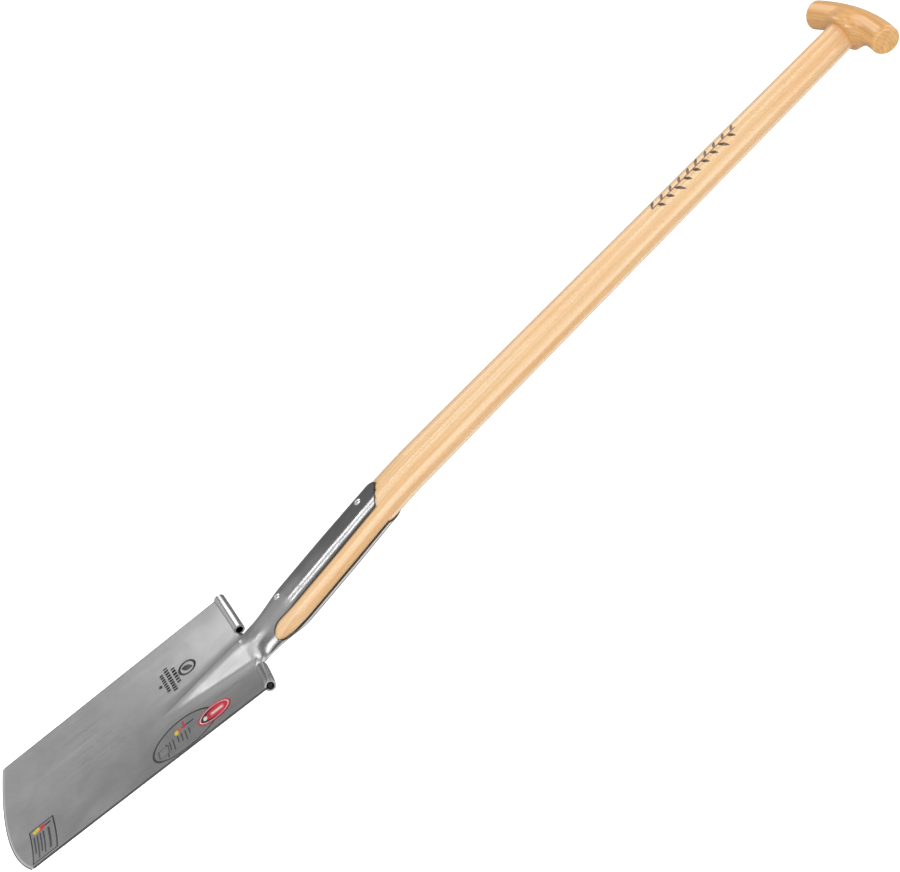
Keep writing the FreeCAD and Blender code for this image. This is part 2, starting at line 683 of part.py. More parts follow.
def oval_outline(half_across, half_up):
    oval = Part.Ellipse(Vector(0, 0, 0), half_up, half_across).toShape()
    oval.Placement = FreeCAD.Placement(Vector(), FreeCAD.Rotation(Vector(1, 0, 0), 90)) \
        * FreeCAD.Placement(Vector(), FreeCAD.Rotation(Vector(0, 0, 1), 90))
    return [oval]


def box_outline(half_across, half_up):
    corners = [Vector(-half_across, 0, -half_up), Vector(half_across, 0, -half_up),
               Vector(half_across, 0, half_up), Vector(-half_across, 0, half_up)]
    return Part.makePolygon(corners + corners[:1]).Edges


def make_stickers():
    shapes = {}
    for name, outline, key, across, layer in (
            ("oval_label", oval_outline, "oval", "oval_across", 0),
            ("badge_label", oval_outline, "badge", "oval_across", 1),
            ("corner_label", box_outline, "corner", "corner_across", 0)):
        half_across, half_up = size[key + "_half_width"], size[key + "_half_height"]
        edges = outline(half_across, half_up)
        shapes[name] = sticker(edges, size[across], size[key + "_below"], half_across, half_up, layer)
    return shapes


# ---- assembly ----------------------------------------------------------------------------------

parts = [
    add_feature("blade", make_blade(), BLADE_PLACE),
    add_feature("back_strap", make_back_strap(), BLADE_PLACE),
    add_feature("neck_welds", make_neck_welds(), BLADE_PLACE),
    add_feature("tongue_weld", make_tongue_weld(), BLADE_PLACE),
    make_tread("left_tread", True),
    make_tread("right_tread", False),
    add_feature("shaft", make_shaft(), FreeCAD.Placement()),
    make_grip(),
    make_grip_pin(),
    make_rivet("upper_rivet_pin", "upper_rivet"),
    make_rivet("lower_rivet_pin", "lower_rivet"),
]
parts += [add_feature(name, shape, BLADE_PLACE) for name, shape in make_stickers().items()]
document.recompute()

for item in document.Objects:
    assert not {"Invalid", "Error"} & set(item.State), f"{item.Label} failed: {item.State}"
for part in parts:
    assert not part.Shape.isNull() and part.Shape.isValid(), f"{part.Label} has a bad shape"
    assert part.Shape.Volume > 0, f"{part.Label} is inside out"

os.makedirs("parts", exist_ok=True)
for part in parts:
    part.Shape.exportStep(os.path.join("parts", part.Label + ".step"))
    box = part.Shape.BoundBox
    print(f"{part.Label:16s} {part.Shape.Volume / 1000:8.2f} cm3  solids {len(part.Shape.Solids)}  "
          f"Z {box.ZMin:8.1f} to {box.ZMax:7.1f}")
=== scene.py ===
"""A garden spade: dished steel blade, riveted straps, bent ash shaft and arched T-grip."""

import logging
import math
from collections.abc import Sequence
from dataclasses import dataclass
from enum import Enum
from functools import reduce

import bmesh
import bpy
import numpy as np
from mathutils import Matrix, Vector

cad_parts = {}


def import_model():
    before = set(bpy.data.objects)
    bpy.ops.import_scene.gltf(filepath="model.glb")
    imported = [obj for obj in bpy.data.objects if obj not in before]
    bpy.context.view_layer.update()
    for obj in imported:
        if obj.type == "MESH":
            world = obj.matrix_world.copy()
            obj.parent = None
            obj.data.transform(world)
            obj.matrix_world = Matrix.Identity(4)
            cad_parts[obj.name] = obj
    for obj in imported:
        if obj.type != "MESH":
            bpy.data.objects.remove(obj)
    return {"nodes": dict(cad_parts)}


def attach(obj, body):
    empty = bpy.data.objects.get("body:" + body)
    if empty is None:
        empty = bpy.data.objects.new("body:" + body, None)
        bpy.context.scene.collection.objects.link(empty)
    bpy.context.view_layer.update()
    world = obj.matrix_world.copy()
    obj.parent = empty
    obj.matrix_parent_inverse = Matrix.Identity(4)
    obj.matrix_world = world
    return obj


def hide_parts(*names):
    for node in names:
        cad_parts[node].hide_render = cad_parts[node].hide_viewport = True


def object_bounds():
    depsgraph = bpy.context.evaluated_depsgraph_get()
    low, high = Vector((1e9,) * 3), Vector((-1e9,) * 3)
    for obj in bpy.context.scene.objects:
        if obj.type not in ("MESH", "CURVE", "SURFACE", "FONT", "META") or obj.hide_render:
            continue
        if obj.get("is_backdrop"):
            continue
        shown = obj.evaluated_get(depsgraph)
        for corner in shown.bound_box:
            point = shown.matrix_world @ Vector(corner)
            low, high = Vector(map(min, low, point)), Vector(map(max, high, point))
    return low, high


log = logging.getLogger("garden_spade")
Array = np.ndarray
Socket = bpy.types.NodeSocket
Colour = tuple[float, float, float]
BODY = "root"
MM_IN_METRE = 1000.0
RIM_REACH = 0.010  # distances from a border are noted up to here, in metres
HALF_TURN = math.radians(89.6)  # half the angle that a shell wraps where no opening leaves it
SOFT_EDGE = 0.35  # width of a printed mark's soft edge, in millimetres
DASH_SHARE = 0.68  # how much of its pitch a dash fills
DASH_SOFT = 0.1  # width of a dash's soft end, as a share of its pitch


# ---- the spade's own geometry ------------------------------------------------------------------

def ease(value: Array | float, start: float, end: float) -> Array:
    """Step smoothly from 0 before start to 1 after end: 3p^2 - 2p^3 of the part between."""
    part = np.clip((np.asarray(value, float) - start) / (end - start), 0.0, 1.0)
    return part * part * (3 - 2 * part)


def bell(value: Array) -> Array:
    """Fall smoothly from 1 in the middle to 0 at a distance of 1: a squared cosine."""
    return np.cos(0.5 * np.pi * np.clip(np.abs(value), 0, 1)) ** 2


def stack(across: Array, deep: Array, height: Array) -> Array:
    """Join three coordinate grids into one grid of points."""
    return np.stack(np.broadcast_arrays(across, deep, height), axis=-1)


def circle(sides: int) -> Array:
    """Return one row of angles, evenly around a full turn."""
    return np.linspace(0, 2 * np.pi, sides, endpoint=False)[None, :]


def run_length(path: Array) -> Array:
    """Return each point's distance along its path."""
    return np.concatenate([[0], np.cumsum(np.linalg.norm(np.diff(path, axis=0), axis=1))])


@dataclass(frozen=True)
class SpadeForm:
    """Sizes and surfaces shared by every piece, in metres and degrees.

    The blade's frame has its origin at the middle of the tread line: X across, -Y to the front
    and Z up along the blade. The socket's axis leans to the front in it.
    """

    blade_lean: float = 9.1
    socket_lean: float = 5.45
    bend_depth: float = 0.6554
    bend_length: float = 0.070
    socket_length: float = 0.2345
    socket_offset: float = 0.0052
    blade_width: float = 0.185
    edge_width: float = 0.1744
    blade_side: float = 0.2834
    edge_bow: float = 0.021
    dish_top: float = 0.0164
    dish_edge: float = 0.014
    sheet: float = 0.002
    hump_length: float = 0.108
    hump_rise: float = 0.0178
    hump_half: float = 0.040
    ridge_share: float = 0.76
    ridge_foot: tuple[float, float] = (0.1, 0.55)
    swell_foot: tuple[float, float] = (0.3, 0.7)
    swell_length: float = 1.15
    flare_length: float = 0.026
    flare_power: float = 2.2
    neck_height: float = 0.030
    neck_radius: float = 0.0205
    strap_radius: float = 0.0235
    strap_top_radius: float = 0.0225
    front_tip: float = 0.2212
    back_tip: float = 0.2172
    strap_point: float = 0.020
    strap_split: float = 0.110
    round_back: float = 0.062
    back_flattening: float = 0.65
    flattening_fade: float = 1.3
    opening_foot: float = 0.0348
    opening_front: float = 0.0134
    opening_back: float = 0.0114
    tongue_length: float = 0.078
    shaft_radius: float = 0.0206
    shaft_top_radius: float = 0.0162

    # -- frames --

    def turn(self, angle: float) -> Array:
        """Return the matrix of a turn about X by an angle in degrees."""
        cos, sin = math.cos(math.radians(angle)), math.sin(math.radians(angle))
        return np.array([[1, 0, 0], [0, cos, -sin], [0, sin, cos]])

    def socket_foot(self) -> Array:
        """Return the point where the socket's axis meets the tread line's level."""
        down = self.turn(self.socket_lean) @ np.array([0, 0, self.socket_length])
        return np.array([0, 0, -self.bend_depth]) - down

    def from_blade(self, points: Array) -> Array:
        """Carry points from the blade's frame into the spade's frame."""
        turn = self.turn(-self.blade_lean)
        origin = self.socket_foot() - turn @ np.array([0, self.socket_offset, 0])
        return points @ turn.T + origin

    def from_socket(self, points: Array) -> Array:
        """Carry points from the socket's frame (Z along its axis) into the spade's frame."""
        return points @ self.turn(self.socket_lean).T + self.socket_foot()

    # -- surfaces --

    def down(self, height: Array) -> Array:
        """Return 0 at the treads and 1 level with the blade's lower corners."""
        return np.clip(-height / self.blade_side, 0, 1.1)

    def half_width(self, height: Array) -> Array:
        """Return half the blade's width at a height: a straight taper."""
        return (self.blade_width + (self.edge_width - self.blade_width) * self.down(height)) / 2

    def dish(self, across: Array, height: Array) -> Array:
        """Return the hollow's depth: a round arc across the blade, its sides forward."""
        depth = self.dish_top + (self.dish_edge - self.dish_top) * self.down(height)
        radius = (self.half_width(height) ** 2 + depth ** 2) / (2 * depth)
        return np.sqrt(radius ** 2 - across ** 2) - radius

    def hump(self, across: Array, height: Array) -> Array:
        """Return the raised cone: a steep ridge on a wider, softer swelling, both to a point."""
        grown = np.maximum(0.0, 1 + height / self.hump_length)
        spread = np.maximum(0.0, 1 + height / (self.swell_length * self.hump_length))
        ridge_half = self.hump_half * (self.ridge_foot[0] + self.ridge_foot[1] * grown)
        ridge = self.ridge_share * self.hump_rise * grown * bell(across / ridge_half)
        swell = (1 - self.ridge_share) * self.hump_rise * ease(spread, 0, 1)
        return ridge + swell * bell(across / self.swell_half(spread))

    def swell_half(self, share: Array) -> Array:
        """Return the soft swelling's half width, from its point, at 0, to the treads, at 1."""
        return self.hump_half * (self.swell_foot[0] + self.swell_foot[1] * share)

    def blade_y(self, across: Array, height: Array) -> Array:
        """Return the middle of the blade's sheet: the hollow less the cone."""
        return self.dish(across, height) - self.hump(across, height)

    def edge_height(self, across: Array) -> Array:
        """Return the cutting edge's height: a shallow curve between the corners."""
        return -self.blade_side - self.edge_bow * (1 - (2 * across / self.edge_width) ** 2)

    def socket_radius(self, along: Array) -> Array:
        """Return the socket's outside radius: waisted at the neck, full at the straps' middle."""
        throat = 0.0015 * (1 - ease(along, 0, self.neck_height))
        swell = (self.strap_radius - self.neck_radius) * ease(along, self.neck_height, 0.075)
        taper = (self.strap_radius - self.strap_top_radius) * ease(along, 0.130, self.front_tip)
        return self.neck_radius + throat + swell - taper

    def back_depth(self, along: Array) -> Array:
        """Return the socket's back half against its front: flattened low down, round further up."""
        return 1 - self.back_flattening * (1 - np.clip(along / self.round_back, 0, 1)) ** self.flattening_fade

    def tube_point(self, angle: Array, along: Array, radius: Array) -> Array:
        """Return points around the lower shaft in the blade's frame; angle 0 is its front."""
        deep = -radius * np.cos(angle)
        deep = np.where(deep > 0, deep * self.back_depth(along), deep)
        spoke = stack(radius * np.sin(angle), deep, along)
        lean = self.turn(self.blade_lean + self.socket_lean)
        return spoke @ lean.T + np.array([0, self.socket_offset, 0])

    def flare(self, along: Array) -> Array:
        """Return 0 at the treads, where the neck is wide, to 1 where it is a round tube."""
        return 1 - (1 - np.clip(along / self.flare_length, 0, 1)) ** self.flare_power

    def opening_angle(self, along: Array, from_back: bool) -> Array:
        """Return the half angle that a strap wraps, where the side openings leave it.

        Args:
            along: distance up the shaft from the tread line.
            from_back: True for the back strap, False for the front one.
        """
        half = (self.opening_front + self.opening_back) / 2
        middle = (self.opening_back - self.opening_front) / 2
        curve = 1.5 * half
        below = np.clip(self.opening_foot + curve - along, 0, None)
        reach = np.sqrt(np.clip(1 - (below / curve) ** 2, 0, 1)) * half
        edge = (middle + reach) / self.back_depth(along) if from_back else reach - middle
        angle = np.arccos(np.clip(edge / self.socket_radius(along), -1, 1))
        return np.where(along > self.opening_foot, np.minimum(angle, HALF_TURN), HALF_TURN)


FORM = SpadeForm()


# ---- meshes from grids -------------------------------------------------------------------------

@dataclass
class Lattice:
    """A grid of points that becomes a mesh.

    Attributes:
        points: array of rows, columns and 3 coordinates, in metres.
        wrap: True where the last column joins the first.
        keep: optional mask of the cells to keep, one less than the points each way.
        chart: optional surface coordinates of each point, in metres, for a UV map.
        grain: optional straightened position of each point, for wood.
        rim: optional distances of each point from a plain border and from the cutting edge.
    """

    points: Array
    wrap: bool = False
    keep: Array | None = None
    chart: Array | None = None
    grain: Array | None = None
    rim: Array | None = None

    def faces(self) -> Array:
        """Return the quads: each cell joins a point with its right and upper neighbours."""
        rows, columns = self.points.shape[:2]
        index = np.arange(rows * columns).reshape(rows, columns)
        if self.wrap:
            index = np.concatenate([index, index[:, :1]], axis=1)
        quads = np.stack([index[:-1, :-1], index[:-1, 1:], index[1:, 1:], index[1:, :-1]], axis=-1)
        return quads[self.keep] if self.keep is not None else quads.reshape(-1, 4)


def make_piece(name: str, lattices: Sequence[Lattice], closed: bool = True) -> bpy.types.Object:
    """Build one mesh object from grids, joined where their points meet.

    Its "rim" attribute holds how far a point is inside RIM_REACH of a plain border and of the
    cutting edge, and the depth of the sheet's middle there.

    Args:
        name: the piece's name.
        lattices: the grids.
        closed: True for a solid, whose faces are turned outwards.

    Returns:
        The new object, riding on the spade's one body.
    """
    points, faces, charts, grains, rims, start = [], [], [], [], [], 0
    for lattice in lattices:
        flat = lattice.points.reshape(-1, 3)
        points.append(flat)
        faces.append(lattice.faces() + start)
        for found, given, columns, blank in ((charts, lattice.chart, 2, 0.0), (grains, lattice.grain, 3, 0.0),
                                             (rims, lattice.rim, 2, RIM_REACH)):
            found.append(np.full((len(flat), columns), blank) if given is None
                         else given.reshape(-1, columns))
        start += len(flat)
    mesh = bpy.data.meshes.new(name)
    mesh.from_pydata(np.concatenate(points), [], np.concatenate(faces).tolist())
    layer = mesh.uv_layers.new(name="surface")
    corners = np.empty(len(mesh.loops), dtype=np.int32)
    mesh.loops.foreach_get("vertex_index", corners)
    layer.data.foreach_set("uv", np.concatenate(charts)[corners].astype(np.float32).ravel())
    near = np.clip(RIM_REACH - np.concatenate(rims), 0, RIM_REACH)
    near = np.concatenate([near, np.concatenate(points)[:, 1:2]], axis=1)
    for key, values in (("grain", np.concatenate(grains)), ("rim", near)):
        attribute = mesh.attributes.new(key, "FLOAT_VECTOR", "POINT")
        attribute.data.foreach_set("vector", values.astype(np.float32).ravel())
    mesh.update()
    piece = bpy.data.objects.new(name, mesh)
    bpy.context.scene.collection.objects.link(piece)
    tidy_mesh(piece, closed)
    mesh.polygons.foreach_set("use_smooth", np.ones(len(mesh.polygons), dtype=bool))
    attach(piece, BODY)
    log.info("%s: %d points, %d faces", name, len(mesh.vertices), len(mesh.polygons))
    return piece


def tidy_mesh(piece: bpy.types.Object, closed: bool) -> None:
    """Merge points that meet, drop collapsed faces and loose points, and face a solid outwards."""
    work = bmesh.new()
    work.from_mesh(piece.data)
    bmesh.ops.remove_doubles(work, verts=work.verts, dist=1e-6)
    bmesh.ops.delete(work, geom=[vert for vert in work.verts if not vert.link_faces], context="VERTS")
    if closed:
        bmesh.ops.recalc_face_normals(work, faces=work.faces)
    work.to_mesh(piece.data)
    work.free()


def thicken(piece: bpy.types.Object, thickness: float, thin_group: Array | None = None) -> None:
    """Give a sheet its wall, half to each side.

    Args:
        piece: the sheet.
        thickness: the wall, in metres.
        thin_group: optional share of the wall at each point.
    """
    wall = piece.modifiers.new("wall", "SOLIDIFY")
    wall.thickness = thickness
    wall.offset = 0.0
    wall.use_even_offset = True
    if thin_group is not None:
        group = piece.vertex_groups.new(name="wall")
        for index, share in enumerate(thin_group):
            group.add([index], float(share), "REPLACE")
        wall.vertex_group = group.name
        wall.thickness_vertex_group = 0.0


def soften(piece: bpy.types.Object, width: float) -> None:
    """Round the sharp edges a little, so that they catch the light."""
    bevel = piece.modifiers.new("edges", "BEVEL")
    bevel.width = width
    bevel.segments = 2
    bevel.limit_method = "ANGLE"
    bevel.angle_limit = math.radians(50)
    bevel.use_clamp_overlap = True
    shading = piece.modifiers.new("shading", "WEIGHTED_NORMAL")
    shading.keep_sharp = True
    shading.weight = 60


def close_ends(rings: Array) -> Array:
    """Add a ring shrunk to its middle at both ends of a row of rings."""
    ends = (rings[:1], rings[-1:])
    first, last = (np.broadcast_to(end.mean(axis=1, keepdims=True), end.shape) for end in ends)
    return np.concatenate([first, rings, last])


def rim_of(border: Array, cutting: Array | None = None) -> Array:
    """Join the distances from a plain border and from the cutting edge, if there is one."""
    return np.stack([border, np.full_like(border, RIM_REACH) if cutting is None else cutting], -1)


def point_drop(share: Array) -> Array:
    """Return how far a strap's pointed end has dropped: |share| with a rounded point."""
    soft = 0.12
    return np.sqrt(share ** 2 + soft ** 2) - soft


def strap_border(share: Array, along: Array, tip: Array, from_back: bool) -> Array:
    """Return the distance from a strap's side or point; share is 0 in its middle, 1 on its sides."""
    wrap = (1 - np.abs(share)) * FORM.opening_angle(along, from_back) * FORM.socket_radius(along)
    return np.where(along > FORM.opening_foot, np.minimum(wrap, 0.8 * (tip - along)), RIM_REACH)


# ---- finishes ----------------------------------------------------------------------------------

class Graph:
    """A material's node tree, with short ways to wire it."""

    def __init__(self, name: str) -> None:
        """Start an empty material with one shader and one output."""
        self.material = bpy.data.materials.new(name)
        self.material.use_nodes = True
        self.tree = self.material.node_tree
        self.tree.nodes.clear()
        self.shader = self.tree.nodes.new("ShaderNodeBsdfPrincipled")
        output = self.tree.nodes.new("ShaderNodeOutputMaterial")
        self.tree.links.new(self.shader.outputs["BSDF"], output.inputs["Surface"])

    def feed(self, socket: Socket, value: Socket | float | Sequence[float]) -> None:
        """Link a socket, or set its number or colour."""
        if isinstance(value, bpy.types.NodeSocket):
            self.tree.links.new(value, socket)
        elif isinstance(value, (int, float)):
            socket.default_value = value
        elif len(value) == 3 and len(socket.default_value) == 4:
            socket.default_value = (*value, 1.0)
        else:
            socket.default_value = value

    def wear(self, **values: Socket | float | Colour) -> bpy.types.Material:
        """Set the shader's inputs, named with underscores for spaces, and return the material."""
        for name, value in values.items():
            self.feed(self.shader.inputs[name.replace("_", " ")], value)
        return self.material

    def plus(self, first: Socket | float, second: Socket | float) -> Socket:
        """Return a sum."""
        return self.math("ADD", first, second)

    def minus(self, first: Socket | float, second: Socket | float) -> Socket:
        """Return a difference."""
        return self.math("SUBTRACT", first, second)

    def times(self, first: Socket | float, second: Socket | float) -> Socket:
        """Return a product."""
        return self.math("MULTIPLY", first, second)

    def squared(self, value: Socket, unit: float) -> Socket:
        """Return the square of a value in units of another."""
        return self.math("POWER", self.math("DIVIDE", value, unit), 2.0)

    def math(self, kind: str, first: Socket | float, second: Socket | float = 0.0,
             third: Socket | float = 0.0, clamp: bool = False) -> Socket:
        """Return one step of arithmetic."""
        node = self.tree.nodes.new("ShaderNodeMath")
        node.operation = kind
        node.use_clamp = clamp
        for socket, value in zip(node.inputs, (first, second, third)):
            self.feed(socket, value)
        return node.outputs[0]

    def blend(self, share: Socket | float, first: Socket | Colour, second: Socket | Colour) -> Socket:
        """Return the first colour where share is 0, and the second where it is 1."""
        node = self.tree.nodes.new("ShaderNodeMix")
        node.data_type = "RGBA"
        self.feed(node.inputs[0], share)
        self.feed(node.inputs[6], first)
        self.feed(node.inputs[7], second)
        return node.outputs[2]

    def spread(self, value: Socket, low: float, high: float, to_low: float, to_high: float) -> Socket:
        """Return a value moved from one range to another, and held inside it."""
        node = self.tree.nodes.new("ShaderNodeMapRange")
        for socket, number in zip(node.inputs, (value, low, high, to_low, to_high)):
            self.feed(socket, number)
        return node.outputs[0]

    def noise(self, vector: Socket, scale: float, detail: float = 2.0, rough: float = 0.5,
              twist: float = 0.0) -> Socket:
        """Return smooth noise about 0.5."""
        node = self.tree.nodes.new("ShaderNodeTexNoise")
        self.feed(node.inputs["Vector"], vector)
        settings = {"Scale": scale, "Detail": detail, "Roughness": rough, "Distortion": twist}
        for key, number in settings.items():
            node.inputs[key].default_value = number
        return node.outputs["Fac"]

    def stretch(self, vector: Socket, scale: Sequence[float], move: Sequence[float] = (0, 0, 0)) -> Socket:
        """Return coordinates scaled along each axis, then moved."""
        node = self.tree.nodes.new("ShaderNodeMapping")
        self.feed(node.inputs["Vector"], vector)
        node.inputs["Scale"].default_value = scale
        node.inputs["Location"].default_value = move
        return node.outputs[0]

    def chart(self) -> Socket:
        """Return the piece's own surface coordinates, in metres."""
        node = self.tree.nodes.new("ShaderNodeUVMap")
        node.uv_map = "surface"
        return node.outputs[0]

    def attribute(self, name: str) -> Socket:
        """Return one of the mesh's own vectors: grain or rim."""
        node = self.tree.nodes.new("ShaderNodeAttribute")
        node.attribute_name = name
        return node.outputs["Vector"]

    def beside(self, near: Socket, close: float, far: float, share: float) -> Socket:
        """Return a share up to a close distance from a border, fading to 0 at a far one."""
        return self.spread(near, RIM_REACH - far, RIM_REACH - close, 0.0, share)

    def in_mm(self) -> tuple[Socket, Socket]:
        """Return the piece's own surface coordinates, in millimetres."""
        return self.parts(self.stretch(self.chart(), (MM_IN_METRE, MM_IN_METRE, 1)))[:2]

    def place(self) -> Socket:
        """Return the point's place on the object."""
        return self.tree.nodes.new("ShaderNodeTexCoord").outputs["Object"]

    def parts(self, vector: Socket) -> tuple[Socket, Socket, Socket]:
        """Return a vector's three numbers."""
        node = self.tree.nodes.new("ShaderNodeSeparateXYZ")
        self.feed(node.inputs[0], vector)
        return tuple(node.outputs)

    def inside(self, distance: Socket, soft: float) -> Socket:
        """Return 1 where a distance is below 0, 0 above, with a soft edge."""
        return self.math("MULTIPLY_ADD", distance, -1.0 / soft, 0.5, clamp=True)

    def bump(self, height: Socket, distance: float, strength: float, under: Socket | None = None) -> Socket:
        """Return a normal raised by a height from 0 to 1, this many metres tall."""
        node = self.tree.nodes.new("ShaderNodeBump")
        node.inputs["Strength"].default_value = strength
        node.inputs["Distance"].default_value = distance
        self.feed(node.inputs["Height"], height)
        if under is not None:
            self.feed(node.inputs["Normal"], under)
        return node.outputs[0]


class Shape(Enum):
    """The outlines that a printed or pressed mark is made of."""

    OVAL = "oval"
    RING = "ring"
    BAR = "bar"
    LEAF = "leaf"
    DASHES = "dashes"


@dataclass(frozen=True)
class Mark:
    """One printed or pressed mark, in millimetres on the piece's own surface.

    Attributes:
        shape: its outline.
        middle: where it is, across and up.
        half: its half width and half height.
        colour: its ink.
        line: a ring's line width, or the pitch of dashes.
        turn: a leaf's or a bar's turn, in degrees.
    """

    shape: Shape
    middle: tuple[float, float]
    half: tuple[float, float]
    colour: Colour = (0.05, 0.05, 0.05)
    line: float = 1.0
    turn: float = 0.0

    def mask(self, graph: Graph, across: Socket, up: Socket) -> Socket:
        """Return 1 on the mark and 0 off it, from distances in millimetres.

        An oval is where (x/a)^2 + (y/b)^2 is under 1; a ring is a band about that curve; a bar is
        where the larger of |x| - a and |y| - b is under 0; a leaf is a bar whose half height
        narrows as 1 - (x/a)^2; dashes are a bar broken by a repeating gap.
        """
        x = graph.minus(across, self.middle[0])
        y = graph.minus(up, self.middle[1])
        if self.turn:
            cos, sin = math.cos(math.radians(self.turn)), math.sin(math.radians(self.turn))
            x, y = (graph.plus(graph.times(x, cos), graph.times(y, sin)),
                    graph.minus(graph.times(y, cos), graph.times(x, sin)))
        a, b = self.half
        if self.shape in (Shape.OVAL, Shape.RING):
            length = graph.math("SQRT", graph.plus(graph.squared(x, a), graph.squared(y, b)))
            gap = graph.times(graph.minus(length, 1.0), min(a, b))
            if self.shape is Shape.RING:
                gap = graph.minus(graph.math("ABSOLUTE", gap), self.line / 2)
            return graph.inside(gap, SOFT_EDGE)
        beside = graph.minus(graph.math("ABSOLUTE", x), a)
        above = graph.math("ABSOLUTE", y)
        if self.shape is Shape.LEAF:
            above = graph.plus(above, graph.times(graph.squared(x, a), b))
        mask = graph.inside(graph.math("MAXIMUM", beside, graph.minus(above, b)), SOFT_EDGE)
        if self.shape is Shape.DASHES:
            beat = graph.math("FRACT", graph.math("DIVIDE", graph.plus(x, 10 * self.line), self.line))
            mask = graph.times(mask, graph.inside(graph.minus(beat, DASH_SHARE), DASH_SOFT))
        return mask


def any_of(graph: Graph, marks: Sequence[Mark], across: Socket, up: Socket) -> Socket:
    """Return 1 on any of the marks and 0 off them all."""
    masks = [mark.mask(graph, across, up) for mark in marks]
    return reduce(lambda first, second: graph.math("MAXIMUM", first, second), masks)


FINE_BRUSH = (2600, 60, 1)  # brush lines in a metre, across and up a surface
WIDE_BRUSH = (520, 7, 1)
NOISE_SPAN = (0.3, 0.7)  # where most of a noise's values lie
CLOUD_SPAN = (0.34, 0.66)
# painted shade: a dark line along a sheet's plain borders, standing in for its edges in shadow
BORDER_SHADE_BAND = (0.0003, 0.0010, 0.85)  # full up to here, gone from here, and how strong
# the ground bevel along the cutting edge, lighter and less metallic: partly its real ground finish, partly a
# painted highlight
HONED_HIGHLIGHT_BAND = (0.0026, 0.0032, 1.0)
# painted shade: a dark line right along the cutting edge
EDGE_SHADE_BAND = (0.0009, 0.0014, 0.92)
BORDER_PAINTED_SHADE: Colour = (0.03, 0.03, 0.035)
# painted shade: the polished part darkened, standing in for the dark surroundings that it reflects
POLISHED_PAINTED_SHADE: Colour = (0.12, 0.12, 0.125)
PRESSED_DARK: Colour = (0.03, 0.03, 0.032)
HONED_TONE_AND_HIGHLIGHT: Colour = (0.62, 0.62, 0.63)
EDGE_PAINTED_SHADE: Colour = (0.04, 0.04, 0.04)


